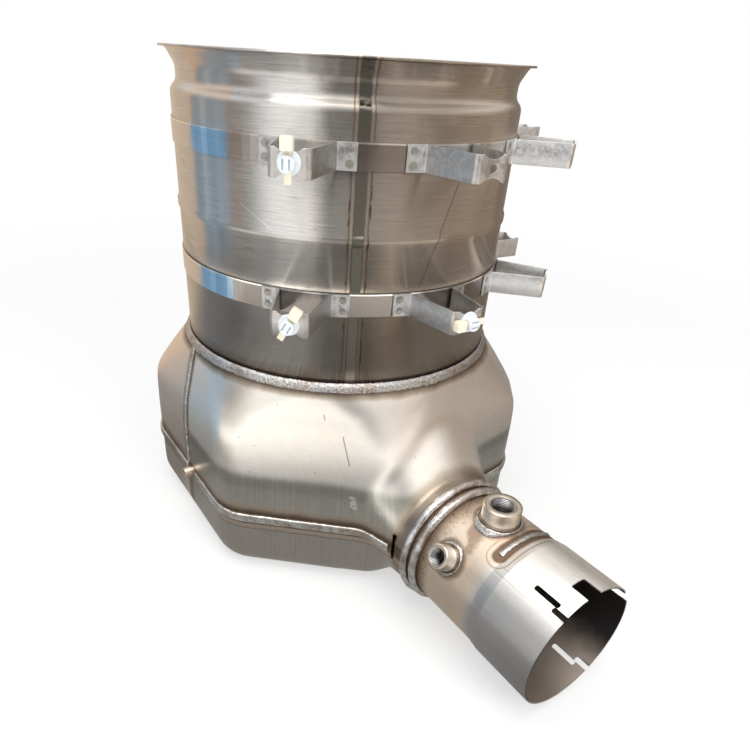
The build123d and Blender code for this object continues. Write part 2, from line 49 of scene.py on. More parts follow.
drum_low, drum_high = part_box("drum_shell")
DRUM_RADIUS = 0.1385
DRUM_WALL = 0.0015
NECK_RADIUS = 0.1335
STEP_HEIGHT = 0.3805
STEP_RISE = 0.0056
FLARE_HEIGHT = 0.3960
RIM_ROOT_RADIUS = 0.1387
RIM_EDGE = 0.0034
RIM_FLAT = 0.0042
RIB_HEIGHT = 0.2994
RIB_HALF = 0.0030
RIB_PROUD = 0.0013
RIB_EASE = 0.0010
FOLD = 0.0040
ROUND_STEPS = 224
SHARP_EDGE = 34.0
SEAM_ANGLE = math.radians(-28.4)
DARK_SCRATCH = ((2.2, 0.3388), (-8.3, 0.2637))
LIGHT_SCRATCH = ((-64.3, 0.3175), (-54.1, 0.3036))
SCRATCH_TIP = 0.03

# Where a tint starts and where it is full, or its middle, half and soft edge. Heights and
# distances from the seam are in metres, turns round the axis in degrees.
SEAM_ZONE = (0.0068, 0.0062)
SEAM_BEAD = (0.0046, 0.0036)
SEAM_LINE = (0.0066, 0.0003, 0.0005)
SEAM_FLECKS = (0.0072, 0.0005, 0.0004)
SHADE_BEFORE_SEAM = (-44.0, -35.0)
SHADE_AFTER_SEAM = (12.0, -16.0)
LEFT_SIDE = (-76.0, 8.0, 3.0)
LEFT_SIDE_TOP = (0.355, 0.375)
BELOW_UPPER_STRAP = (0.345, 0.330)
BELOW_RIB = (0.2990, 0.2930)
BELOW_RIB_FROM = (-76.0, -66.0)
BELOW_RIB_TO = (179.0, 140.0)
FOOT_HEAT = (0.206, 0.188)
FOOT_EDGE = (0.1935, 0.1925)

DRUM_GREY = (0.63, 0.62, 0.605)
DRUM_TAN = (0.64, 0.55, 0.46)
# The warm tone below is a painted tint over the reflection on the drum's left side.
DRUM_REFLECTION_WARM = (0.74, 0.58, 0.46)
DRUM_STREAK = (0.30, 0.27, 0.25)
DRUM_SPECK = (0.13, 0.10, 0.08)
SEAM_PALE = (0.42, 0.38, 0.32)
SEAM_DARK = (0.19, 0.175, 0.15)
SEAM_BROWN = (0.26, 0.17, 0.10)
FLECK_BROWN = (0.11, 0.06, 0.035)
FOOT_STRAW = (0.46, 0.40, 0.34)
FOOT_BROWN = (0.20, 0.15, 0.12)
FOOT_DIRT = (0.09, 0.06, 0.045)
DARK_SCRATCH_TONE = (0.16, 0.12, 0.10)
LIGHT_SCRATCH_TONE = (0.86, 0.84, 0.82)


class Value:
    """A shader socket that takes part in plain arithmetic."""

    def __init__(self, tree, socket):
        self.tree = tree
        self.socket = socket

    def math(self, operation, *others):
        inputs = dict(enumerate((self, *others)))
        return add_node(self.tree, "ShaderNodeMath", inputs, operation=operation)

    def degrees(self):
        return self * (180 / math.pi)

    def __add__(self, other):
        return self.math("ADD", other)

    def __sub__(self, other):
        return self.math("SUBTRACT", other)

    def __rsub__(self, other):
        return (self * -1.0) + other

    def __mul__(self, other):
        return self.math("MULTIPLY", other)

    def __truediv__(self, other):
        return self.math("DIVIDE", other)

    __radd__ = __add__
    __rmul__ = __mul__


def feed(tree, slot, item):
    """Link a shader value into a slot, or set a plain number or colour on it."""
    if isinstance(item, Value):
        tree.links.new(item.socket, slot)
    elif isinstance(item, (tuple, list)) and slot.type == "RGBA":
        slot.default_value = (*item[:3], 1.0)
    else:
        slot.default_value = item


def add_node(tree, kind, inputs=None, output=0, **settings):
    """Add a node, with its settings set first, and return one of its outputs."""
    node = tree.nodes.new(kind)
    for key, setting in settings.items():
        setattr(node, key, setting)
    for key, item in (inputs or {}).items():
        feed(tree, node.inputs[key], item)
    return Value(tree, node.outputs[output])


class Finish:
    """One surface finish: a material with a main shader and calls that add nodes to it."""

    def __init__(self, name, metallic=1.0, roughness=0.35):
        self.material = bpy.data.materials.new(name)
        self.material.use_nodes = True
        self.tree = self.material.node_tree
        self.shader = self.tree.nodes["Principled BSDF"]
        self.give("Metallic", metallic)
        self.give("Roughness", roughness)
        self.place = self.node("ShaderNodeTexCoord", output="Object")

    def node(self, kind, inputs=None, output=0, **settings):
        return add_node(self.tree, kind, inputs, output, **settings)

    def give(self, name, item):
        feed(self.tree, self.shader.inputs[name], item)

    def xyz(self):
        """The three object coordinates, in metres."""
        split = self.node("ShaderNodeSeparateXYZ", {0: self.place}).socket.node
        return [Value(self.tree, out) for out in split.outputs]

    def vector(self, x, y, z):
        return self.node("ShaderNodeCombineXYZ", {0: x, 1: y, 2: z})

    def grain(self, where, scale, detail=3.0, roughness=0.55, distortion=0.0):
        """Noise from 0 to 1 round a mean of one half."""
        inputs = {"Vector": where, "Scale": scale, "Detail": detail, "Roughness": roughness}
        inputs["Distortion"] = distortion
        return self.node("ShaderNodeTexNoise", inputs)

    def fade(self, value, start, end):
        """0 where value is at start, 1 where it is at end, smooth between."""
        inputs = {"Value": value, "From Min": start, "From Max": end}
        return self.node("ShaderNodeMapRange", inputs, interpolation_type="SMOOTHSTEP")

    def band(self, value, centre, half, soft):
        """1 within half of the centre, falling to 0 over soft."""
        return self.fade((value - centre).math("ABSOLUTE"), half + soft, half)

    def specks(self, scale, start, end):
        """1 in small round spots, strewn over the surface."""
        cells = self.node("ShaderNodeTexVoronoi", {"Vector": self.place, "Scale": scale})
        return self.fade(cells, start, end)

    def mix(self, mask, first, second):
        inputs = {"Factor": mask, 6: first, 7: second}
        return self.node("ShaderNodeMix", inputs, 2, data_type="RGBA")

    def coats(self, colour, *layers):
        """Lay tones over a colour in turn, each where its mask is 1."""
        for mask, tone in layers:
            colour = self.mix(mask, colour, tone)
        return colour

    def shade(self, colour, amount):
        """Make a colour lighter or darker, as much as amount is above or below 1."""
        level = self.vector(amount, amount, amount)
        return self.node("ShaderNodeVectorMath", {0: colour, 1: level}, operation="MULTIPLY")

    def bump(self, height, distance):
        self.give("Normal", self.node("ShaderNodeBump", {"Height": height, "Distance": distance}))


def span(first, second):
    """The length of a line that goes this far in two directions at right angles."""
    return (first * first + second * second).math("SQRT")


def strongest(*masks):
    """The highest of several masks."""
    highest = masks[0]
    for mask in masks[1:]:
        highest = highest.math("MAXIMUM", mask)
    return highest


def turn_and_height(finish):
    """Angle round the drum's axis, distance from it, and height."""
    x, y, z = finish.xyz()
    return y.math("ARCTAN2", x), span(x, y), z


def heat_colour(finish, colour, heat, straw, brown):
    """Tint steel from clean through straw to dark brown as heat goes from 0 to 1."""
    warm = finish.mix(finish.fade(heat, 0.0, 0.55), colour, straw)
    return finish.mix(finish.fade(heat, 0.45, 1.0), warm, brown)


def brushed(finish, anisotropic):
    """Brush lines that run round the drum, which draw what the metal mirrors out upwards."""
    finish.give("Anisotropic", anisotropic)
    finish.give("Anisotropic Rotation", 0.25)


def scratch(finish, turn, z, ends, half_width):
    """1 on a straight scratch over the drum, between two places given as degrees and height."""
    (first_turn, first_z), (last_turn, last_z) = ends
    run = Vector((math.radians(last_turn - first_turn) * DRUM_RADIUS, last_z - first_z))
    across = (turn - math.radians(first_turn)) * DRUM_RADIUS
    rise = z - first_z
    along = (across * run.x + rise * run.y) / run.length_squared
    off = ((across * run.y - rise * run.x) / run.length).math("ABSOLUTE")
    tips = finish.band(along, 0.5, 0.5 - SCRATCH_TIP, SCRATCH_TIP)
    return finish.fade(off, half_width * 2, half_width) * tips


def drum_finish():
    """Steel with fine lines rolled round it, tan beyond the seam and brown at its foot, with painted
    shade by the seam and below the rib, and a painted warm tint over the reflection on its left.
    """
    steel = Finish("drum_steel")
    brushed(steel, 0.97)
    turn, _, z = turn_and_height(steel)
    degrees = turn.degrees()
    lines = steel.grain(steel.vector(turn * 4.0, z * 1300.0, 0.0), 1.0, 4.0, 0.7)
    streaks = steel.grain(steel.vector(turn * 9.0, z * 420.0, 3.0), 1.0, 3.0, 0.6)
    flecks = steel.grain(steel.vector(turn * 60.0, z * 110.0, 0.0), 1.0, 3.0, 0.7)
    patches = steel.grain(steel.place, 14.0, 4.0)
    past_seam = steel.fade(turn, SEAM_ANGLE - 0.45, SEAM_ANGLE + 0.30)
    colour = steel.mix(past_seam * steel.fade(turn, math.pi, 2.0), DRUM_GREY, DRUM_TAN)
    colour = steel.shade(colour, 0.52 + 0.76 * lines + 0.20 * patches)
    # Painted shade: the steel is darkened on both sides of the seam, where it mirrors the carriers.
    painted_seam_shade = steel.fade(degrees, *SHADE_BEFORE_SEAM) * steel.fade(degrees, *SHADE_AFTER_SEAM)
    colour = steel.shade(colour, 1.0 - 0.42 * painted_seam_shade)
    # Painted reflection tint: the left side is warmed where it mirrors the blue band, most above the
    # upper strap.
    reflection_warmth = steel.band(degrees, *LEFT_SIDE) * (0.40 + 0.45 * steel.fade(z, *LEFT_SIDE_TOP))
    wander = (steel.grain(steel.vector(z, 0.0, 0.0), 90.0, 3.0) - 0.5) * 0.0012
    off_seam = ((turn - SEAM_ANGLE) * DRUM_RADIUS + wander).math("ABSOLUTE")
    below_strap = 0.35 + 0.65 * steel.fade(z, *BELOW_UPPER_STRAP)
    seam_flecks = steel.band(off_seam, *SEAM_FLECKS) * steel.fade(flecks, 0.50, 0.62)
    colour = steel.coats(
        colour,
        (reflection_warmth, DRUM_REFLECTION_WARM),
        (steel.fade(streaks, 0.60, 0.74) * 0.30, DRUM_STREAK),
        (steel.fade(off_seam, *SEAM_ZONE) * 0.7, SEAM_PALE),
        (steel.fade(off_seam, *SEAM_BEAD), SEAM_DARK),
        (steel.band(off_seam, *SEAM_LINE) * 0.75, SEAM_BROWN),
        (seam_flecks * below_strap, FLECK_BROWN),
    )
    # Painted shade: the drum is a little darker below the rib, round its front and right side.
    below_rib_shade = steel.fade(degrees, *BELOW_RIB_FROM) * steel.fade(degrees, *BELOW_RIB_TO)
    colour = steel.shade(colour, 1.0 - 0.10 * (steel.fade(z, *BELOW_RIB) * below_rib_shade))
    foot = steel.fade(z + (patches - 0.5) * 0.010, *FOOT_HEAT)
    colour = heat_colour(steel, colour, foot * 0.72, FOOT_STRAW, FOOT_BROWN)
    colour = steel.coats(
        colour,
        (steel.fade(z + (lines - 0.5) * 0.002, *FOOT_EDGE) * 0.8, FOOT_DIRT),
        (steel.specks(85.0, 0.060, 0.035) * 0.6, DRUM_SPECK),
        (scratch(steel, turn, z, DARK_SCRATCH, 0.00028) * 0.7, DARK_SCRATCH_TONE),
        (scratch(steel, turn, z, LIGHT_SCRATCH, 0.00022) * 0.8, LIGHT_SCRATCH_TONE),
    )
    steel.give("Base Color", colour)
    steel.give("Roughness", 0.21 + 0.05 * lines + 0.05 * patches)
    steel.bump(lines, 0.000008)
    return steel.material


def shade_smooth(mesh, sharp):
    """Smooth shading with the edges sharper than this angle kept sharp."""
    mesh.polygons.foreach_set("use_smooth", [True] * len(mesh.polygons))
    mesh.set_sharp_from_angle(angle=math.radians(sharp))
    mesh.update()


def place_piece(name, bm, material, stands_for, sharp=SHARP_EDGE):
    """Turn a finished bmesh into a piece that rides on the body and stands for its node."""
    mesh = bpy.data.meshes.new(name)
    bm.to_mesh(mesh)
    bm.free()
    shade_smooth(mesh, sharp)
    piece = bpy.data.objects.new(name, mesh)
    bpy.context.scene.collection.objects.link(piece)
    piece.data.materials.append(material)
    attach(piece, "root")
    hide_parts(stands_for)
    return piece


def profile_line(bm, points):
    """A row of vertices joined by edges, in the plane y = 0."""
    row = [bm.verts.new((r, 0.0, z)) for r, z in points]
    for first, second in zip(row, row[1:]):
        bm.edges.new((first, second))
    return row


def round_corners(bm, corners, radius, segments):
    """Round the bends of a profile line."""
    bmesh.ops.bevel(
        bm, geom=corners, offset=radius, offset_type="OFFSET", segments=segments,
        profile=0.5, affect="VERTICES", material=-1,
    )


def spin_round(bm):
    """Turn a profile about the drum's axis into a closed round skin with outward faces."""
    bmesh.ops.spin(
        bm, geom=bm.verts[:] + bm.edges[:], axis=(0, 0, 1), cent=(0, 0, 0), angle=math.tau,
        steps=ROUND_STEPS, use_merge=True, use_duplicate=False,
    )
    bmesh.ops.remove_doubles(bm, verts=bm.verts, dist=1e-6)
    bmesh.ops.recalc_face_normals(bm, faces=bm.faces)
    bm.normal_update()
    if sum(f.normal.dot(f.calc_center_median()) * f.calc_area() for f in bm.faces) < 0:
        bmesh.ops.reverse_faces(bm, faces=bm.faces)


def thicken(piece, wall):
    """Give a skin its wall, inwards from its outer face."""
    shell = piece.modifiers.new("wall", "SOLIDIFY")
    shell.thickness = wall
    shell.offset = -1.0
    shell.use_even_offset = True


drum = bmesh.new()
drum_row = profile_line(
    drum,
    [
        (DRUM_RADIUS, drum_low.z),
        (DRUM_RADIUS, RIB_HEIGHT - RIB_HALF - RIB_EASE),
        (DRUM_RADIUS + RIB_PROUD, RIB_HEIGHT - RIB_HALF + RIB_EASE),
        (DRUM_RADIUS + RIB_PROUD, RIB_HEIGHT + RIB_HALF - RIB_EASE),
        (DRUM_RADIUS, RIB_HEIGHT + RIB_HALF + RIB_EASE),
        (DRUM_RADIUS, STEP_HEIGHT),
        (NECK_RADIUS, STEP_HEIGHT + STEP_RISE),
        (NECK_RADIUS, FLARE_HEIGHT),
        (RIM_ROOT_RADIUS, drum_high.z - RIM_EDGE),
        (drum_high.x - RIM_FLAT, drum_high.z - DRUM_WALL),
        (drum_high.x, drum_high.z - DRUM_WALL),
    ],
)
round_corners(drum, drum_row[5:8], 2 * FOLD / 3, 6)
round_corners(drum, drum_row[8:10], FOLD / 4, 3)
spin_round(drum)
drum_steel = drum_finish()
drum_piece = place_piece("drum", drum, drum_steel, "drum_shell")
thicken(drum_piece, DRUM_WALL)
nodes["drum_seam_weld"].data.materials.clear()
nodes["drum_seam_weld"].data.materials.append(drum_steel)

# Collector housing
# Three pressings of stainless sheet: a front and a rear half that rise from eight upright
# walls to the drum's ring, and a flat pan. The front flows into the neck that takes the pipe.

HOUSING_TURN = math.radians(49.1)
SHEET = 0.0020
RING_RADIUS = 0.1410
RING_HEIGHT = 0.1850
JOINT_HEIGHT = 0.0600
SIDE_JOINT = -0.0100
END_WALL = (0.1820, 0.1310)
CHAMFER_WALL = (0.1570, 0.1310)
FRONT_WALL = (0.1580, 0.1090)
CHAMFER_TURN = math.radians(40.9)
CREASE_EASE = 0.0060
EASE_DROP = 0.0310
CORNER_RADIUS = 0.0400
CORNER_FADE = 0.0600
RING_FLAT = 0.0010
PAN_EDGE = 0.0240
PAN_STEPS = 8
ARC_POINTS = 12
LEVEL_STEP = 0.0040
LEVELS = 30
NECK_ROOT = (0.1180, 0.0930, 0.0760, 0.0920)
PIPE_HEIGHT = 0.0600
COLLAR_RADIUS = 0.0550
COLLAR_START = 0.1850
COLLAR_END = 0.1970
OVAL_POINTS = 72
SKIN_VOXEL = 0.0022
HOLLOW_ROUNDS = 34
HOLLOW_REACH = 0.0240
HOLLOW_SHRINK = 0.0004
HOLLOW_ROOT = 0.1340
HOLLOW_SIDE = 0.0700
HOLLOW_FOOT = 0.0040
HOLLOW_TOP = 0.1500
PRESSED_EDGE = 60.0
TEAR = ((0.1810, 0.1846), (0.0470, 0.0765))
ROOF_SCRATCHES = (((-30.0, 0.1491), (-27.7, 0.1239)), ((-36.1, 0.1653), (-35.7, 0.1605)))
WALL_STAIN = ((-26.5, 0.0965), (-25.9, 0.0829))

# Where a tint starts and where it is full, or its middle, half and soft edge, in metres.
WALL_TOP = (0.111, 0.100)
CREASE = (0.0985, 0.002, 0.007)
PAN_TOP = (JOINT_HEIGHT, JOINT_HEIGHT - 0.004)
REAR_START = (SIDE_JOINT, SIDE_JOINT - 0.004)
RING_HEAT = (0.1745, 0.1830)
JOINT_HEAT = (0.0790, 0.0650)
JOINT_HEAT_FOOT = (0.0560, 0.0570)
SIDE_HEAT = (SIDE_JOINT, 0.004, 0.005)
SIDE_HEAT_OUTER = (0.10, 0.12)
NECK_HEAT = (0.174, 0.185)
CREVICE = (0.0052, 0.0007, 0.0008)
SCALE_BAND = (0.0520, 0.0016, 0.0010)
SCALE_LINE = (0.0490, 0.0003, 0.0008)

# The roof's tones include painted light, and the wall grey is painted shade.
ROOF_LIT_TAN = (0.95, 0.89, 0.80)
ROOF_LIT_PALE = (0.97, 0.96, 0.93)
WALL_SHADE_GREY = (0.52, 0.51, 0.475)
# Painted shade for the crease between roof and walls.
CREASE_SHADE = (0.30, 0.285, 0.25)
PAN_GREY = (0.45, 0.425, 0.40)
REAR_TAN = (0.92, 0.81, 0.72)
HOUSING_STRAW = (0.50, 0.43, 0.35)
HOUSING_BROWN = (0.15, 0.105, 0.075)
CREVICE_DIRT = (0.12, 0.085, 0.06)
SCALE_TAN = (0.60, 0.47, 0.38)
SCALE_BROWN = (0.22, 0.17, 0.14)
ROOF_SCRATCH_TONE = (0.26, 0.19, 0.14)
STAIN_WHITE = (0.95, 0.95, 0.95)
HOUSING_SPECK = (0.16, 0.11, 0.08)


def wall_reach(drop, wall, crease):
    """How far a wall stands from the axis, this far below the ring, eased at its crease."""
    roof = RING_RADIUS + (wall - RING_RADIUS) * drop / (RING_HEIGHT - crease)
    gap = roof - wall
    ease = CREASE_EASE * min(1.0, drop / EASE_DROP)
    return wall + (gap - math.sqrt(gap * gap + ease * ease)) / 2


def joined_loop(bm, points):
    """Vertices joined by edges into a closed loop; returns the edges."""
    loop = [bm.verts.new(point) for point in points]
    return [bm.edges.new((v, loop[(i + 1) % len(loop)])) for i, v in enumerate(loop)]


def housing_loop(bm, drop, inset=0.0, height=None):
    """One level of the housing as a closed loop of edges."""
    half_turn = math.pi
    angles = [0.0, CHAMFER_TURN, math.pi / 2, half_turn - CHAMFER_TURN]
    angles = angles + [a + half_turn for a in angles] + [math.tau]
    walls = [END_WALL, CHAMFER_WALL, FRONT_WALL, CHAMFER_WALL] * 2
    walls.append(END_WALL)
    fade = max(0.0, 1.0 - drop / CORNER_FADE)
    corner = CORNER_RADIUS + (RING_RADIUS - RING_FLAT - CORNER_RADIUS) * fade**2 - inset
    reaches = [wall_reach(drop, *wall) - inset - corner for wall in walls]
    z = RING_HEIGHT - drop if height is None else height
    points = []
    for i in range(8):
        a, b = angles[i], angles[i + 1]
        turn = math.sin(b - a)
        u = (reaches[i] * math.sin(b) - reaches[i + 1] * math.sin(a)) / turn
        v = (reaches[i + 1] * math.cos(a) - reaches[i] * math.cos(b)) / turn
        for k in range(ARC_POINTS + 1):
            t = a + (b - a) * k / ARC_POINTS
            point = Vector((u + corner * math.cos(t), v + corner * math.sin(t), z))
            point.rotate(Matrix.Rotation(HOUSING_TURN, 3, "Z"))
            points.append(point)
    return joined_loop(bm, points)


def oval_loop(bm, x, height, half_width, half_height):
    """An upright oval round the pipe's direction."""
    turns = [math.tau * k / OVAL_POINTS for k in range(OVAL_POINTS)]
    return joined_loop(
        bm, [(x, half_width * math.cos(t), height + half_height * math.sin(t)) for t in turns]
    )


def skin_between(bm, loops):
    """Bridge loops of edges in turn and close both ends."""
    for first, second in zip(loops, loops[1:]):
        bmesh.ops.bridge_loops(bm, edges=first + second)
    for end in (loops[0], loops[-1]):
        bmesh.ops.contextual_create(bm, geom=end)
    bmesh.ops.recalc_face_normals(bm, faces=bm.faces)


def relax(bm, verts):
    """Draw vertices half of the way to the middle of their neighbours."""
    bmesh.ops.smooth_vert(
        bm, verts=verts, factor=0.5, use_axis_x=True, use_axis_y=True, use_axis_z=True
    )


def remeshed(bm, voxel, smoothing):
    """Close a rough form into one even skin of small faces."""
    mesh = bpy.data.meshes.new("rough")
    bm.to_mesh(mesh)
    bm.free()
    rough = bpy.data.objects.new("rough", mesh)
    bpy.context.scene.collection.objects.link(rough)
    remesh = rough.modifiers.new("even", "REMESH")
    remesh.mode = "VOXEL"
    remesh.voxel_size = voxel
    bpy.context.view_layer.update()
    even = bpy.data.meshes.new_from_object(rough.evaluated_get(bpy.context.evaluated_depsgraph_get()))
    bpy.data.objects.remove(rough)
    result = bmesh.new()
    result.from_mesh(even)
    for _ in range(smoothing):
        relax(result, result.verts)
    return result


def near_hollow(place, reach):
    """True near the line where the neck leaves the body."""
    return (
        HOLLOW_ROOT < place.x < COLLAR_START - 0.001
        and abs(place.y) < HOLLOW_SIDE + reach
        and HOLLOW_FOOT < place.z < HOLLOW_TOP + reach
    )


def housing_skin():
    """The outer form of body and neck, fused with a soft hollow between them."""
    body = bmesh.new()
    to_joint = RING_HEIGHT - JOINT_HEIGHT
    loops = [housing_loop(body, 0.0)]
    loops += [housing_loop(body, LEVEL_STEP * k) for k in range(1, LEVELS + 1)]
    loops.append(housing_loop(body, to_joint))
    loops.append(housing_loop(body, to_joint, 0.0, PAN_EDGE))
    for k in range(1, PAN_STEPS + 1):
        t = math.pi / 2 * k / PAN_STEPS
        inset = PAN_EDGE * (1 - math.cos(t))
        loops.append(housing_loop(body, to_joint, inset, PAN_EDGE * (1 - math.sin(t))))
    skin_between(body, loops)
    neck_loops = [
        oval_loop(body, *NECK_ROOT),
        oval_loop(body, COLLAR_START, PIPE_HEIGHT, COLLAR_RADIUS, COLLAR_RADIUS),
        oval_loop(body, COLLAR_END + SHEET, PIPE_HEIGHT, COLLAR_RADIUS, COLLAR_RADIUS),
    ]
    skin_between(body, neck_loops)
    skin = remeshed(body, SKIN_VOXEL, 2)
    for turn in range(HOLLOW_ROUNDS):
        reach = HOLLOW_REACH - HOLLOW_SHRINK * turn
        relax(skin, [v for v in skin.verts if near_hollow(v.co, reach)])
    return skin


def cut_away(bm, point, normal):
    """Remove what lies on the side that the normal points to."""
    bmesh.ops.bisect_plane(
        bm, geom=bm.verts[:] + bm.edges[:] + bm.faces[:], dist=1e-7,
        plane_co=point, plane_no=normal, clear_outer=True, clear_inner=False,
    )


def in_tear(face):
    """True in the slit that is torn beside the neck's bead."""
    middle = face.calc_center_median()
    (x_low, x_high), (z_low, z_high) = TEAR
    in_front = middle.y < -COLLAR_RADIUS / 2
    return in_front and x_low < middle.x < x_high and z_low < middle.z < z_high


def housing_finish():
    """Pressed sheet: a pale roof with painted light, grey walls with painted shade and a painted dark
    crease, and the brown of heat along its welds.
    """
    steel = Finish("housing_steel")
    x, y, z = steel.xyz()
    turn = y.math("ARCTAN2", x)
    patches = steel.grain(steel.place, 11.0, 4.0)
    fine = steel.grain(steel.place, 160.0, 3.0)
    streaks = steel.grain(steel.vector(turn * 170.0, z * 6.0, 0.0), 1.0, 3.0, 0.7)
    ragged = (steel.grain(steel.place, 60.0, 4.0) - 0.5) * 0.004
    uneven = patches - 0.5
    # Painted light and shade: the roof's pale tones stand for light falling on it, and the walls'
    # grey below stands for shade.
    wall = steel.fade(z + uneven * 0.010, *WALL_TOP)
    colour = steel.coats(
        steel.mix(steel.fade(patches, 0.3, 0.7), ROOF_LIT_TAN, ROOF_LIT_PALE),
        (wall, WALL_SHADE_GREY),
        # Painted shade just below the crease between roof and walls.
        (steel.band(z + uneven * 0.012, *CREASE) * 0.35, CREASE_SHADE),
        (steel.fade(z, *PAN_TOP), PAN_GREY),
        (steel.fade(x + uneven * 0.006, *REAR_START), REAR_TAN),
    )
    wall_streaks = (0.70 * streaks - 0.22) * wall
    colour = steel.shade(colour, 0.82 + 0.12 * fine + wall_streaks + 0.06 * (1.0 - wall))
    at_joint = steel.fade(z + ragged, *JOINT_HEAT) * steel.fade(z, *JOINT_HEAT_FOOT)
    outer = steel.fade(y.math("ABSOLUTE"), *SIDE_HEAT_OUTER)
    at_side = steel.band(x + ragged, *SIDE_HEAT) * outer
    at_neck = steel.fade(x + ragged, *NECK_HEAT)
    heat = strongest(steel.fade(z + ragged, *RING_HEAT), at_joint, at_side * 0.8, at_neck * 0.8)
    burnt = heat * (0.75 + 0.30 * patches)
    colour = heat_colour(steel, colour, burnt, HOUSING_STRAW, HOUSING_BROWN)
    off_joint = (z + ragged * 0.3 - JOINT_HEIGHT).math("ABSOLUTE")
    colour = steel.coats(
        colour,
        (steel.band(off_joint, *CREVICE) * 0.85, CREVICE_DIRT),
        (steel.band(z + ragged, *SCALE_BAND) * 0.6, SCALE_TAN),
        (steel.band(z + ragged, *SCALE_LINE) * 0.5, SCALE_BROWN),
    )
    for ends in ROOF_SCRATCHES:
        colour = steel.mix(scratch(steel, turn, z, ends, 0.00030) * 0.75, colour, ROOF_SCRATCH_TONE)
    stain = scratch(steel, turn, z, WALL_STAIN, 0.0014) * steel.fade(fine, 0.36, 0.46)
    colour = steel.coats(
        colour,
        (stain * 0.9, STAIN_WHITE),
        (steel.specks(80.0, 0.07, 0.035) * 0.55, HOUSING_SPECK),
    )
    steel.give("Base Color", colour)
    steel.give("Roughness", 0.30 - 0.06 * wall + 0.08 * patches + 0.08 * heat)
    steel.bump(fine * 0.25 + streaks * wall * 0.5 + patches * 0.6, 0.00020)
    return steel.material


skin = housing_skin()
cut_away(skin, (0.0, 0.0, RING_HEIGHT - SHEET / 4), (0, 0, 1))
cut_away(skin, (COLLAR_END - SHEET / 8, 0.0, 0.0), (1, 0, 0))
whole_skin = skin.copy()
torn = [face for face in skin.faces if in_tear(face)]
bmesh.ops.delete(skin, geom=torn, context="FACES")
housing_steel = housing_finish()
above_joint = ((0, 0, JOINT_HEIGHT), (0, 0, -1))
housing_cuts = {
    "front_half": ("front_shell", [((SIDE_JOINT, 0, 0), (-1, 0, 0)), above_joint]),
    "rear_half": ("rear_shell", [((SIDE_JOINT, 0, 0), (1, 0, 0)), above_joint]),
    "pan": ("bottom_pan", [((0, 0, JOINT_HEIGHT), (0, 0, 1))]),
}
for piece_name, (node_name, cuts) in housing_cuts.items():
    share = skin.copy()
    for cut_point, cut_normal in cuts:
        cut_away(share, cut_point, cut_normal)
    pressing = place_piece(
        piece_name, share, housing_steel, node_name, PRESSED_EDGE
    )
    thicken(pressing, SHEET)
skin.free()

# Weld beads on housing, neck and bosses
# Rough beads of filler laid by hand: silver grey and lumpy, with a fine ripple, and brown
# heat beside them. Each is fused to the two sheets that it joins.

BEAD_VOXEL = 0.0009
SMALL_BEAD_VOXEL = 0.0008
BEAD_LUMP = 0.0075
BEAD_RIPPLE = 0.0016
BEAD_LIFT = 0.0004
SIDE_BEAD_LIFT = 0.0006
BEAD_EDGE = 80.0
JOINT_BEAD_HALF = 0.0041
SIDE_BEAD_HALF = 0.0034
BEAD_HEIGHT = 0.0020
JOINT_BEAD_END = 0.1790
STUB_X = -0.0030
STUB_GAP = 0.0080

FILLER_GREY = (0.48, 0.455, 0.43)
FILLER_GRAINY = (0.52, 0.51, 0.50)
FILLER_SMOOTH = (0.72, 0.72, 0.72)
FILLER_BROWN = (0.40, 0.31, 0.235)
# The near white below is for painted glints on the filler.
FILLER_GLINT = (0.88, 0.88, 0.89)
FILLER_PIT = (0.13, 0.11, 0.095)


def weld_finish(name, sparkle, smooth_tone):
    """Filler metal with painted glints: sparkle is how strongly pits and the painted glints stand
    out.
    """
    metal = Finish(name)
    lumps = metal.grain(metal.place, 150.0, 4.0)
    pits = metal.grain(metal.place, 780.0, 3.0, 0.7)
    glint_spots = metal.grain(metal.place, 620.0, 2.0, 0.6)
    stain = metal.grain(metal.place, 48.0, 4.0)
    colour = metal.coats(
        metal.mix(metal.fade(lumps, 0.30, 0.60), FILLER_GREY, smooth_tone),
        (metal.fade(stain, 0.48, 0.62) * 0.65, FILLER_BROWN),
        # Painted glints: bright spots laid into the filler's colour.
        (metal.fade(glint_spots, 0.50, 0.66) * sparkle, FILLER_GLINT),
        (metal.fade(pits, 0.47, 0.34) * (0.45 + 0.5 * sparkle), FILLER_PIT),
    )
    metal.give("Base Color", colour)
    metal.give("Roughness", 0.20 + 0.22 * pits)
    metal.bump(pits * sparkle + lumps * 0.6, 0.0006)
    return metal.material


def lay_bead(name, form, node_name, material, voxel=BEAD_VOXEL, lift=BEAD_LIFT, rounding=4):
    """Round a rough strip of filler and give it lumps and ripples."""
    bead = remeshed(form, voxel, rounding)
    bead.normal_update()
    for v in bead.verts:
        lump = noise.noise(v.co / BEAD_LUMP)
        ripple = noise.noise(v.co / BEAD_RIPPLE + Vector((7.0, 3.0, 1.0)))
        v.co += v.normal * lift * (lump * 0.6 + ripple * 0.5 + 0.25)
    return place_piece(name, bead, material, node_name, BEAD_EDGE)


def strip_of_skin(cuts, height):
    """A strip of the housing's skin, thickened outwards."""
    strip = whole_skin.copy()
    for point, normal in cuts:
        cut_away(strip, point, normal)
    strip.normal_update()
    bottom = strip.faces[:]
    for v in strip.verts:
        v.co -= v.normal * height * 0.5
    bmesh.ops.solidify(strip, geom=bottom, thickness=-height * 1.5)
    bmesh.ops.recalc_face_normals(strip, faces=strip.faces)
    return strip


def at_stub(face):
    """True where the stub comes through the joint's bead."""
    middle = face.calc_center_median()
    return abs(middle.x - STUB_X) < STUB_GAP and middle.y < 0


def copy_of(node_name):
    """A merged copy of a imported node, ready to be worked on."""
    form = bmesh.new()
    form.from_mesh(nodes[node_name].data)
    bmesh.ops.remove_doubles(form, verts=form.verts, dist=2e-6)
    return form


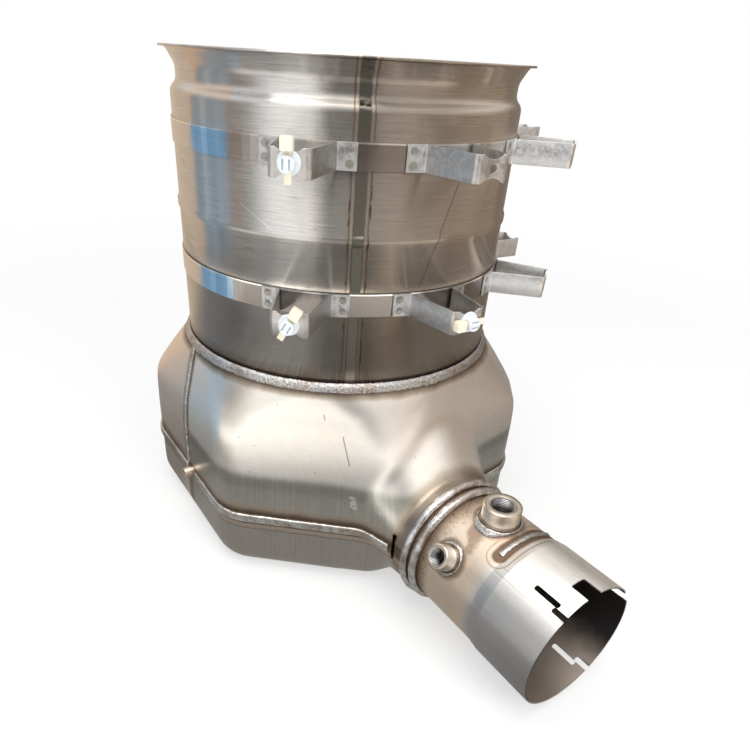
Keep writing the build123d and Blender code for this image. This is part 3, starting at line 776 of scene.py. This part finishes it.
grainy_weld = weld_finish("grainy_weld", 0.70, FILLER_GRAINY)
smooth_weld = weld_finish("smooth_weld", 0.25, FILLER_SMOOTH)

joint_strip = strip_of_skin(
    [
        ((0, 0, JOINT_HEIGHT + JOINT_BEAD_HALF), (0, 0, 1)),
        ((0, 0, JOINT_HEIGHT - JOINT_BEAD_HALF), (0, 0, -1)),
        ((JOINT_BEAD_END, 0, 0), (1, 0, 0)),
    ],
    BEAD_HEIGHT,
)
gap = [face for face in joint_strip.faces if at_stub(face)]
bmesh.ops.delete(joint_strip, geom=gap, context="FACES")
open_edges = [e for e in joint_strip.edges if e.is_boundary]
bmesh.ops.holes_fill(joint_strip, edges=open_edges)
lay_bead("joint_bead", joint_strip, "joint_weld", smooth_weld)

for node_name, side in (("left_seam_weld", -1), ("right_seam_weld", 1)):
    seam_low, seam_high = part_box(node_name)
    seam_strip = strip_of_skin(
        [
            ((SIDE_JOINT + SIDE_BEAD_HALF, 0, 0), (1, 0, 0)),
            ((SIDE_JOINT - SIDE_BEAD_HALF, 0, 0), (-1, 0, 0)),
            ((0, 0, 0), (0, -side, 0)),
            ((0, 0, seam_low.z), (0, 0, -1)),
            ((0, 0, seam_high.z), (0, 0, 1)),
        ],
        BEAD_HEIGHT,
    )
    bead_name = node_name.replace("weld", "bead")
    lay_bead(bead_name, seam_strip, node_name, grainy_weld, lift=SIDE_BEAD_LIFT)
whole_skin.free()

for node_name, material in (
    ("ring_weld", grainy_weld),
    ("inner_neck_weld", smooth_weld),
    ("outer_neck_weld", smooth_weld),
    ("large_boss_weld", grainy_weld),
    ("small_boss_weld", grainy_weld),
    ("plug_weld", grainy_weld),
):
    bead_name = node_name.replace("weld", "bead")
    lay_bead(bead_name, copy_of(node_name), node_name, material, SMALL_BEAD_VOXEL, rounding=5)

# Outlet pipe, sleeve, bosses and stub
# A drawn tube with a widened slip end, cut with slots so that a clamp can close it, and two
# turned bosses welded on over holes. All carry the straw and brown of welding heat.

PIPE_RADIUS = 0.0508
PIPE_WALL = 0.0016
SLIP_PROUD = 0.0016
LARGE_BOSS = (0.2390, 0.0, 0.0148)
SMALL_BOSS = (0.2335, 58.0, 0.0099)
LARGE_BORE = 0.0092
SMALL_BORE = 0.0062
THREAD_PITCH = 0.0015
PLUG_WELD_X = 0.2640
PLUG_WELD_MIDDLE = -0.0035
PLUG_WELD_HALF = 0.0275

# Where a tint starts and where it is full, or its middle, half and soft edge, in metres.
SLIP_START = (0.258, 0.273)
SLIP_STEP = (0.2672, 0.2788)
SLIP_SHADE_TURN = (0.55, 1.15)
OUTSIDE_BODY = (0.10, 0.15)
BESIDE_NECK = (0.226, 0.207)
CRUST_END = (0.236, 0.206)
BESIDE_PLUG = (0.0075, 0.0045)
PLUG_RING = (0.0100, 0.0003, 0.0006)
SOOT_TO_HIGHLIGHT_DEPTH = (-0.020, -0.044)
BOSS_FOOT = (0.0555, 0.0535)
BORE_DEPTH = (0.062, 0.055)

PIPE_TANS = ((0.72, 0.59, 0.47), (0.80, 0.70, 0.59))
SLIP_PALES = ((0.79, 0.75, 0.69), (0.85, 0.83, 0.80))
SLIP_SHADE_GREY = (0.47, 0.47, 0.475)
GROOVE_GREY = (0.36, 0.36, 0.37)
PIPE_STRAW = (0.50, 0.39, 0.30)
PIPE_BROWN = (0.20, 0.135, 0.095)
CRUST_BROWN = (0.10, 0.065, 0.045)
# Inside the pipe: soot with painted shade, and a painted tan highlight near the bottom.
SOOT_AND_SHADE = (0.050, 0.046, 0.046)
INSIDE_HIGHLIGHT_TAN = (0.46, 0.39, 0.34)
BOSS_TANS = ((0.52, 0.44, 0.35), (0.68, 0.61, 0.52))
BOSS_FOOT_BROWN = (0.20, 0.155, 0.12)
# Painted light and shade for the thread's turns, and painted shade deep in the bore.
THREAD_LIGHT_AND_SHADE = ((0.22, 0.22, 0.23), (0.92, 0.92, 0.94))
BORE_SHADE = (0.05, 0.045, 0.045)


def smooth_copy(name, node_name, material, edge=0.0):
    """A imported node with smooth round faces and, if asked, a small edge break."""
    form = copy_of(node_name)
    if edge:
        bmesh.ops.dissolve_limit(
            form, angle_limit=math.radians(1.0), verts=form.verts, edges=form.edges
        )
        sharp = math.radians(SHARP_EDGE)
        keen = [e for e in form.edges if e.is_manifold and e.calc_face_angle(0.0) > sharp]
        bmesh.ops.bevel(
            form, geom=keen, offset=edge, offset_type="OFFSET", segments=2,
            profile=0.5, affect="EDGES", material=-1, clamp_overlap=True,
        )
    return place_piece(name, form, material, node_name)


def pipe_finish():
    """Drawn tube: tan by the welds, pale and grooved along the slip end with painted shade on its
    front side, dark inside with soot and painted shade, and a painted tan highlight near the bottom
    inside.
    """
    steel = Finish("pipe_steel")
    x, y, z = steel.xyz()
    height = z - PIPE_HEIGHT
    turn = (y * -1.0).math("ARCTAN2", height)
    patches = steel.grain(steel.place, 22.0, 4.0)
    fine = steel.grain(steel.place, 210.0, 3.0)
    drawn = steel.grain(steel.vector(x * 5.0, turn * 22.0, 0.0), 1.0, 4.0, 0.65)
    groove = steel.grain(steel.vector(x * 2.0, turn * 34.0, 5.0), 1.0, 2.0)
    ragged = (steel.grain(steel.place, 70.0, 4.0) - 0.5) * 0.010
    on_slip = steel.fade(x + (patches - 0.5) * 0.010, *SLIP_START)
    colour = steel.mix(on_slip, steel.mix(patches, *PIPE_TANS), steel.mix(patches, *SLIP_PALES))
    # Painted shade: the slip end is greyer on its front side, from a little below the top down to the
    # bottom.
    colour = steel.mix(steel.fade(turn, *SLIP_SHADE_TURN) * on_slip, colour, SLIP_SHADE_GREY)
    colour = steel.shade(colour, 0.80 + 0.22 * drawn + 0.12 * fine)
    grooved = steel.fade(groove, 0.60, 0.70) * on_slip
    colour = steel.mix(grooved * 0.55, colour, GROOVE_GREY)

    on_pipe = steel.fade(x, *OUTSIDE_BODY)
    at_neck = steel.fade(x + ragged, *BESIDE_NECK) * on_pipe
    along = turn * PIPE_RADIUS
    across_plug = (x - PLUG_WELD_X).math("ABSOLUTE")
    past_plug = (along - PLUG_WELD_MIDDLE).math("ABSOLUTE") - PLUG_WELD_HALF
    plug = span(across_plug, past_plug.math("MAXIMUM", 0.0))
    at_plug = steel.fade(plug + ragged * 0.3, *BESIDE_PLUG)
    heat = strongest(at_neck, at_plug, steel.band(plug, *PLUG_RING) * 0.5)
    for boss_x, boss_angle, boss_radius in (LARGE_BOSS, SMALL_BOSS):
        off_boss = along - PIPE_RADIUS * math.radians(boss_angle)
        from_boss = span(x - boss_x, off_boss) + ragged * 0.35
        halo = steel.fade(from_boss, boss_radius + 0.0085, boss_radius + 0.0035)
        heat = strongest(heat, halo * 0.8)
    smudge = steel.fade(steel.grain(steel.place, 34.0, 4.0), 0.52, 0.66)
    heat = strongest(heat, smudge * (1.0 - on_slip) * on_pipe * 0.7)
    colour = heat_colour(steel, colour, heat, PIPE_STRAW, PIPE_BROWN)

    crust = steel.fade(steel.grain(steel.place, 420.0, 3.0), 0.56, 0.64)
    crust = crust * steel.fade(x + ragged, *CRUST_END) * on_pipe
    mid_wall = SLIP_PROUD * steel.fade(x, *SLIP_STEP) + (PIPE_RADIUS - PIPE_WALL / 2)
    inside = steel.fade(span(y, height) - mid_wall, 0.0001, -0.0003)
    # Inside the pipe: near black with soot and painted shade, going over to a painted tan highlight
    # towards the bottom.
    low = steel.fade(height + (patches - 0.5) * 0.03, *SOOT_TO_HIGHLIGHT_DEPTH)
    colour = steel.coats(
        colour,
        (crust * 0.7, CRUST_BROWN),
        (inside, steel.mix(low, SOOT_AND_SHADE, INSIDE_HIGHLIGHT_TAN)),
    )
    steel.give("Base Color", colour)
    steel.give("Roughness", 0.38 + 0.12 * patches + 0.08 * heat + 0.15 * inside)
    steel.bump(drawn * 0.5 + fine * 0.3 + patches * 0.4, 0.0002)
    return steel.material


def boss_finish(name, boss, bore):
    """Turned steel, tan from heat outside, with a bright thread cut in its bore: painted light and
    shade along its turns, and painted shade deeper in the bore.
    """
    boss_x, boss_angle, _ = boss
    steel = Finish(name)
    x, y, z = steel.xyz()
    lean = math.radians(boss_angle)
    height = z - PIPE_HEIGHT
    up_bore = height * math.cos(lean) - y * math.sin(lean)
    aside = y * math.cos(lean) + height * math.sin(lean)
    patches = steel.grain(steel.place, 60.0, 4.0)
    fine = steel.grain(steel.place, 520.0, 2.0)
    in_bore = steel.fade(span(x - boss_x, aside), bore + 0.0006, bore + 0.0002)
    # Painted light on the thread's crests and painted shade in its roots, and painted shade deep in
    # the bore.
    thread = (up_bore * (math.tau / THREAD_PITCH)).math("SINE") * 0.5 + 0.5
    thread_and_shade = steel.mix(steel.fade(up_bore, *BORE_DEPTH), steel.mix(thread, *THREAD_LIGHT_AND_SHADE), BORE_SHADE)
    colour = steel.coats(
        steel.mix(steel.fade(patches, 0.35, 0.65), *BOSS_TANS),
        (steel.fade(up_bore, *BOSS_FOOT), BOSS_FOOT_BROWN),
        (in_bore, thread_and_shade),
    )
    steel.give("Base Color", steel.shade(colour, 0.85 + 0.3 * fine))
    steel.give("Roughness", 0.30 + 0.14 * patches - 0.12 * in_bore)
    steel.bump(thread * in_bore + fine * 0.1, 0.0006)
    return steel.material


pipe_steel = pipe_finish()
large_boss_steel = boss_finish("large_boss_steel", LARGE_BOSS, LARGE_BORE)
small_boss_steel = boss_finish("small_boss_steel", SMALL_BOSS, SMALL_BORE)
smooth_copy("slip_pipe", "outlet_pipe", pipe_steel)
smooth_copy("joining_sleeve", "neck_sleeve", pipe_steel)
smooth_copy("stub", "pressure_stub", pipe_steel)
smooth_copy("large_boss", "large_sensor_boss", large_boss_steel)
smooth_copy("small_boss", "small_sensor_boss", small_boss_steel)

# Straps and carriers
# Thin bright bands pulled round the drum, and hat-shaped strips of galvanised sheet spot-welded
# to them. The carriers hold cable clips, and their cut edges shine.

STRAP_HEIGHTS = (0.3533, 0.2538)
STRAP_HALF = 0.0085
FIRST_CARRIER = -43.3
CARRIER_STEP = 40.0
CARRIER_EDGE = 0.00018
SPOT_TURN = 11.4
SPOT_RISE = 0.0043
SPOT_RADIUS = 0.0028
TAB_REACH = 0.1425
PLATE_REACH = (0.1795, 0.1815)

# Where a tint starts and where it is full, or its middle, half and soft edge, in degrees round
# the axis.
STAINED_STRETCH = (-21.0, 13.0, 4.0)
BLUE_REFLECTION_STRETCH = (-76.0, 7.5, 1.0)
LOWER_SHADE_FROM = (-74.0, -62.0)
FAR_CARRIERS_LIT = (10.0, 30.0)

STRAP_TONES = ((0.66, 0.62, 0.58), (0.76, 0.75, 0.74))
STRAP_BROWN = (0.34, 0.285, 0.245)
# Painted shade for the lower band.
STRAP_SHADE = (0.27, 0.245, 0.225)
# Painted reflection: the blue the band mirrors.
STRAP_BLUE_REFLECTION = (0.53, 0.72, 0.86)
# Painted highlight for the bands' upper edges.
STRAP_EDGE_HIGHLIGHT = (0.95, 0.91, 0.84)
ZINC_TONES = ((0.49, 0.505, 0.525), (0.57, 0.56, 0.55))
PLATE_TAN = (0.60, 0.56, 0.52)
SPOT_BROWN = (0.30, 0.27, 0.235)


def strap_finish():
    """Polished band with fine lines along it, browned in front, with a painted blue reflection and
    painted shade, and a cream painted highlight at its upper edge.
    """
    steel = Finish("strap_steel")
    brushed(steel, 0.7)
    turn, _, z = turn_and_height(steel)
    degrees = turn.degrees()
    lines = steel.grain(steel.vector(turn * 1.2, z * 900.0, 0.0), 1.0, 3.0)
    patches = steel.grain(steel.place, 26.0, 3.0)
    # Painted shade on the lower band, from left of its front round its right side.
    lower = steel.fade(z, 0.29, 0.28) * steel.fade(degrees, *LOWER_SHADE_FROM)
    colour = steel.coats(
        steel.mix(patches, *STRAP_TONES),
        (steel.band(degrees, *STAINED_STRETCH) * 0.9, STRAP_BROWN),
        (lower * steel.fade(turn, math.pi, 2.2), STRAP_SHADE),
        # Painted reflection: a stretch of the band painted blue where it mirrors a blue band.
        (steel.band(degrees, *BLUE_REFLECTION_STRETCH) * 0.8, STRAP_BLUE_REFLECTION),
    )
    # Painted highlight: a cream line along each band's upper edge.
    edge_highlights = [
        steel.fade(z, middle + STRAP_HALF - 0.0013, middle + STRAP_HALF - 0.0008)
        * steel.fade(z, middle + 0.02, middle + 0.01)
        for middle in STRAP_HEIGHTS
    ]
    colour = steel.shade(colour, 0.85 + 0.25 * lines)
    colour = steel.mix(edge_highlights[0] + edge_highlights[1], colour, STRAP_EDGE_HIGHLIGHT)
    steel.give("Base Color", colour)
    steel.give("Roughness", 0.15 + 0.06 * lines + 0.05 * patches)
    return steel.material


def carrier_finish():
    """Zinc with its flakes, tan on the front plates and brown at the spot welds, with painted light
    on the far carriers.
    """
    zinc = Finish("carrier_steel")
    turn, reach, z = turn_and_height(zinc)
    degrees = turn.degrees()
    flakes = zinc.node("ShaderNodeTexVoronoi", {"Vector": zinc.place, "Scale": 420.0}, output="Color")
    tone = zinc.node("ShaderNodeRGBToBW", {0: flakes})
    cloud = zinc.grain(zinc.place, 70.0, 4.0)
    colour = zinc.mix(zinc.fade(reach, *PLATE_REACH) * 0.6, zinc.mix(cloud, *ZINC_TONES), PLATE_TAN)
    # Painted light: the carriers round the far right side made lighter.
    painted_light_far = zinc.fade(degrees, *FAR_CARRIERS_LIT)
    colour = zinc.shade(colour, 0.76 + 0.26 * tone + 0.16 * cloud + 0.40 * painted_light_far)
    steps = (degrees - FIRST_CARRIER) / CARRIER_STEP + 0.5
    off_middle = (steps - steps.math("FLOOR") - 0.5) * CARRIER_STEP
    off_spot = (off_middle.math("ABSOLUTE") - SPOT_TURN) * math.radians(DRUM_RADIUS)
    to_rows = [(z - middle).math("ABSOLUTE") for middle in STRAP_HEIGHTS]
    off_row = to_rows[0].math("MINIMUM", to_rows[1]) - SPOT_RISE
    from_spot = span(off_spot, off_row) + (cloud - 0.5) * 0.0008
    at_tab = zinc.fade(reach, TAB_REACH, TAB_REACH - 0.0005)
    spot = zinc.fade(from_spot, SPOT_RADIUS + 0.0004, SPOT_RADIUS - 0.0004) * at_tab
    zinc.give("Base Color", zinc.mix(spot * 0.75, colour, SPOT_BROWN))
    zinc.give("Roughness", 0.34 + 0.12 * tone)
    zinc.bump(cloud, 0.0001)
    return zinc.material


strap_steel = strap_finish()
carrier_steel = carrier_finish()
for row in ("upper", "lower"):
    smooth_copy(f"{row}_band", f"{row}_strap", strap_steel)
    for number in (1, 2, 3, 4):
        carrier = f"{row}_carrier_{number}"
        smooth_copy(f"{row}_hat_{number}", carrier, carrier_steel, CARRIER_EDGE)

# Clips and ties
# Pale grey moulded clips, pushed into the carriers' holes, and short cut lengths of cream
# nylon cable tie left in them.

MOULDED_EDGE = 0.0002
CLIP_GREYS = ((0.62, 0.66, 0.70), (0.72, 0.75, 0.78))
TIE_CREAMS = ((0.78, 0.70, 0.54), (0.84, 0.78, 0.63))


def plastic_finish(name, tones, roughness):
    """Moulded plastic with a faint cloud between two tones."""
    plastic = Finish(name, 0.0, roughness)
    cloud = plastic.grain(plastic.place, 150.0, 3.0)
    plastic.give("Base Color", plastic.mix(cloud, *tones))
    plastic.bump(plastic.grain(plastic.place, 900.0, 2.0), 0.00005)
    return plastic.material


clip_plastic = plastic_finish("clip_plastic", CLIP_GREYS, 0.36)
tie_plastic = plastic_finish("tie_plastic", TIE_CREAMS, 0.42)
for place in ("upper_{}", "lower_{}_1", "lower_{}_2"):
    mount_name = place.format("tie_mount")
    tie_name = place.format("cable_tie")
    smooth_copy(mount_name, place.format("clip"), clip_plastic, MOULDED_EDGE)
    smooth_copy(tie_name, place.format("tie"), tie_plastic, MOULDED_EDGE)

# Filter brick and mat
# A ceramic honeycomb whose channels are plugged in a checker pattern, held in the drum by a
# squeezed fibre mat.

CELL = 0.0018
CHANNEL = (0.5, 0.34, 0.06)
BRICK_TANS = ((0.50, 0.45, 0.39), (0.60, 0.56, 0.50))
CHANNEL_SHADE = (0.06, 0.055, 0.05)
MAT_CREAMS = ((0.62, 0.58, 0.50), (0.78, 0.75, 0.68))


def brick_finish():
    """Tan ceramic, with every second channel open, its depth painted dark as painted shade."""
    ceramic = Finish("brick_ceramic", 0.0, 0.85)
    x, y, _ = ceramic.xyz()
    checker = {"Vector": ceramic.vector(x, y, CELL / 2), "Scale": 1 / CELL}
    unplugged = ceramic.node("ShaderNodeTexChecker", checker, output="Fac")
    across = ceramic.band((x / CELL).math("FRACT"), *CHANNEL)
    along = ceramic.band((y / CELL).math("FRACT"), *CHANNEL)
    channels = across * along * unplugged
    wall = ceramic.mix(ceramic.grain(ceramic.place, 40.0, 4.0), *BRICK_TANS)
    # Painted shade in the open channels.
    ceramic.give("Base Color", ceramic.mix(channels, wall, CHANNEL_SHADE))
    ceramic.bump(1.0 - channels, 0.0006)
    return ceramic.material


def mat_finish():
    """Matted pale fibres."""
    fibre = Finish("mat_fibre", 0.0, 0.9)
    strands = fibre.grain(fibre.place, 500.0, 4.0, 0.7, 1.5)
    fibre.give("Base Color", fibre.mix(strands, *MAT_CREAMS))
    fibre.bump(strands, 0.0004)
    return fibre.material


smooth_copy("honeycomb", "filter_brick", brick_finish())
smooth_copy("fibre_mat", "support_mat", mat_finish())

# Floor and mirror cards
# A plain pale floor, and two cards that only the metal mirrors: a round sheet on the floor and
# an upright round screen, with soft bands of colour as they stand round a workshop.

FLOOR_SIZE = 12.0
FLOOR_GREY = (0.86, 0.86, 0.86)
FLOOR_CLEARS = (0.25, 1.4)
SHEET_RADIUS = 0.98
SHEET_LIFT = 0.0005
SCREEN_RADIUS = 0.85
SCREEN_FOOT = 0.03
SCREEN_TOP = 1.10
CARD_SEGMENTS = 96
LIT_TURN = (-36.0, 62.0, 16.0)
LIT_TONE = (2.30, 2.25, 2.16)
SHEET_LIT_REACH = (0.72, 0.84)
SCREEN_LIT_HEIGHT = (0.15, 0.07)
SHEET_NEAR_TONE = (0.40, 0.385, 0.36)
SHEET_BACK_TONE = (0.18, 0.175, 0.165)
SHEET_MIDDLE_TONE = (0.27, 0.26, 0.25)
PALE_TURN = (-66.0, 9.0, 18.0)
PALE_TONE = (1.20, 1.19, 1.17)

# Start and end in degrees round the part, soft edge in degrees, and colour.
WORKSHOP_TONE = (0.34, 0.30, 0.27)
WORKSHOP_BANDS = (
    (-42.0, -20.0, 8.0, (0.07, 0.067, 0.067)),
    (-70.0, -54.0, 10.0, (0.66, 0.645, 0.615)),
    (-93.0, -77.0, 4.0, (0.26, 0.25, 0.24)),
    (-106.0, -94.0, 1.5, (0.22, 0.155, 0.12)),
    (-139.0, -107.0, 3.0, (0.24, 0.36, 0.48)),
    (-128.0, -125.0, 1.5, (0.46, 0.58, 0.70)),
    (-114.0, -112.5, 1.0, (0.37, 0.48, 0.59)),
    (-181.0, -140.0, 1.5, (0.70, 0.56, 0.43)),
    (10.0, 42.0, 16.0, (0.34, 0.28, 0.23)),
    (52.0, 84.0, 12.0, (0.36, 0.30, 0.25)),
    (88.0, 140.0, 5.0, (0.26, 0.22, 0.19)),
    (150.0, 181.0, 8.0, (0.70, 0.56, 0.43)),
)


def rays_that_see_white(tree):
    """1 for rays from the camera, a mirror or glass, which meet a plain white background."""
    camera, glossy, through = [
        add_node(tree, "ShaderNodeLightPath", output=f"Is {kind} Ray")
        for kind in ("Camera", "Glossy", "Transmission")
    ]
    return (camera + glossy + through).math("MINIMUM", 1.0)


def floor_finish():
    """Matt paint that goes over into the white background away from the part."""
    paint = Finish("floor_paint", 0.0, 0.8)
    paint.give("Base Color", FLOOR_GREY)
    _, reach, _ = turn_and_height(paint)
    share = rays_that_see_white(paint.tree) * (0.55 + 0.45 * paint.fade(reach, *FLOOR_CLEARS))
    painted = Value(paint.tree, paint.shader.outputs[0])
    white = paint.node("ShaderNodeEmission")
    both = paint.node("ShaderNodeMixShader", {0: share, 1: painted, 2: white})
    feed(paint.tree, paint.tree.nodes["Material Output"].inputs["Surface"], both)
    return paint.material


def workshop_round(paper, turn):
    """What stands round a workshop, as soft upright bands of colour by their direction."""
    colour = WORKSHOP_TONE
    for start, end, soft, tone in WORKSHOP_BANDS:
        band = paper.band(turn, (start + end) / 2, (end - start) / 2, soft)
        colour = paper.mix(band, colour, tone)
    return colour


def sheet_glow():
    """The card on the floor: a plain floor near the part, the workshop's bands farther out."""
    paper = Finish("sheet_paper", 0.0, 1.0)
    turn, reach, _ = turn_and_height(paper)
    turn = turn.degrees()
    back = strongest(paper.fade(turn, -95.0, -120.0), paper.fade(turn, 120.0, 150.0))
    colour = paper.coats(
        paper.mix(back, SHEET_NEAR_TONE, SHEET_BACK_TONE),
        (paper.fade(reach, 0.24, 0.34), SHEET_MIDDLE_TONE),
        (paper.fade(reach, 0.40, 0.56), workshop_round(paper, turn)),
        (paper.band(turn, *LIT_TURN) * paper.fade(reach, *SHEET_LIT_REACH), LIT_TONE),
    )
    paper.give("Emission Color", colour)
    return paper


def screen_glow():
    """The upright card: the workshop's bands, white above them and lit low down in front."""
    paper = Finish("screen_paper", 0.0, 1.0)
    turn, _, z = turn_and_height(paper)
    turn = turn.degrees()
    colour = paper.coats(
        workshop_round(paper, turn),
        (paper.band(turn, *PALE_TURN) * paper.fade(z, 0.22, 0.34), PALE_TONE),
        (paper.fade(z, 0.50, 0.80), (1.0, 1.0, 1.0)),
        (paper.band(turn, *LIT_TURN) * paper.fade(z, *SCREEN_LIT_HEIGHT), LIT_TONE),
    )
    paper.give("Emission Color", colour)
    return paper


def mirror_card(name, card, paper):
    """A card that only the metal sees, so that it has dark and light to mirror."""
    mesh = bpy.data.meshes.new(name)
    card.to_mesh(mesh)
    card.free()
    piece = bpy.data.objects.new(name, mesh)
    bpy.context.scene.collection.objects.link(piece)
    piece.visible_camera = piece.visible_diffuse = piece.visible_shadow = False
    piece.visible_transmission = piece.visible_volume_scatter = False
    paper.give("Base Color", (0.0, 0.0, 0.0))
    paper.give("Specular IOR Level", 0.0)
    paper.give("Emission Strength", 1.0)
    piece.data.materials.append(paper.material)


bpy.ops.mesh.primitive_plane_add(size=FLOOR_SIZE)
floor = bpy.context.object
floor.name = "floor"
floor.data.materials.append(floor_finish())

sheet = bmesh.new()
bmesh.ops.create_circle(sheet, cap_ends=True, radius=SHEET_RADIUS, segments=CARD_SEGMENTS)
bmesh.ops.translate(sheet, verts=sheet.verts, vec=(0, 0, SHEET_LIFT))
mirror_card("mirror_sheet", sheet, sheet_glow())

screen = bmesh.new()
bmesh.ops.create_circle(screen, cap_ends=False, radius=SCREEN_RADIUS, segments=CARD_SEGMENTS)
bmesh.ops.translate(screen, verts=screen.verts, vec=(0, 0, SCREEN_FOOT))
raised = bmesh.ops.extrude_edge_only(screen, edges=screen.edges)["geom"]
screen_top = [part for part in raised if isinstance(part, bmesh.types.BMVert)]
bmesh.ops.translate(screen, verts=screen_top, vec=(0, 0, SCREEN_TOP - SCREEN_FOOT))
mirror_card("mirror_screen", screen, screen_glow())

# Light and camera
# A white background with soft bluish light, one large lamp overhead and one on each side, and
# the camera where the photograph was taken from, as high as the part's rim.

SKY_BLUE = (0.95, 0.97, 1.0)
SKY_STRENGTH = 0.6
LAMP_AIM = Vector((0.05, 0.0, 0.2))
LENS = 29.11
CAMERA_PLACE = Vector((0.4669, -0.3067, 0.4087))
CAMERA_LOOK = Vector((-0.6964, 0.4918, -0.5226)).normalized()
CAMERA_ROLL = math.radians(3.54)
CAMERA_SHIFT = (0.0335, 0.0689)

world = bpy.data.worlds.new("studio")
bpy.context.scene.world = world
world.use_nodes = True
air = world.node_tree
surround = air.nodes["Background"]
feed(air, surround.inputs["Color"], SKY_BLUE)
feed(air, surround.inputs["Strength"], SKY_STRENGTH)
soft_light = Value(air, surround.outputs[0])
background = add_node(air, "ShaderNodeBackground", {"Color": (1.0, 1.0, 1.0)})
either = add_node(
    air, "ShaderNodeMixShader", {0: rays_that_see_white(air), 1: soft_light, 2: background}
)
feed(air, air.nodes["World Output"].inputs["Surface"], either)


def soft_lamp(name, place, size, power, colour):
    """A large square lamp that faces the part."""
    lamp = bpy.data.lights.new(name, "AREA")
    lamp.size = size
    lamp.energy = power
    lamp.color = colour
    holder = bpy.data.objects.new(name, lamp)
    bpy.context.scene.collection.objects.link(holder)
    holder.location = place
    holder.rotation_mode = "QUATERNION"
    holder.rotation_quaternion = (LAMP_AIM - Vector(place)).to_track_quat("-Z", "Y")


soft_lamp("top_lamp", (0.3, -0.5, 2.2), 1.6, 32.0, (1.0, 0.99, 0.97))
soft_lamp("left_lamp", (1.0, -1.75, 0.80), 1.2, 8.0, (0.97, 0.98, 1.0))
soft_lamp("right_lamp", (1.8, 0.25, 1.20), 1.0, 17.0, (1.0, 0.97, 0.92))

lens = bpy.data.cameras.new("camera")
lens.lens = LENS
lens.sensor_width = 36.0
lens.shift_x, lens.shift_y = CAMERA_SHIFT
lens.clip_start = 0.01
lens.clip_end = 50.0
camera = bpy.data.objects.new("camera", lens)
bpy.context.scene.collection.objects.link(camera)
level_right = CAMERA_LOOK.cross(Vector((0, 0, 1))).normalized()
level_up = level_right.cross(CAMERA_LOOK)
right = level_right * math.cos(CAMERA_ROLL) + level_up * math.sin(CAMERA_ROLL)
up = level_up * math.cos(CAMERA_ROLL) - level_right * math.sin(CAMERA_ROLL)
pose = Matrix((right, up, -CAMERA_LOOK)).transposed().to_4x4()
pose.translation = CAMERA_PLACE
camera.matrix_world = pose
bpy.context.scene.camera = camera
bpy.context.scene.view_settings.view_transform = "Standard"
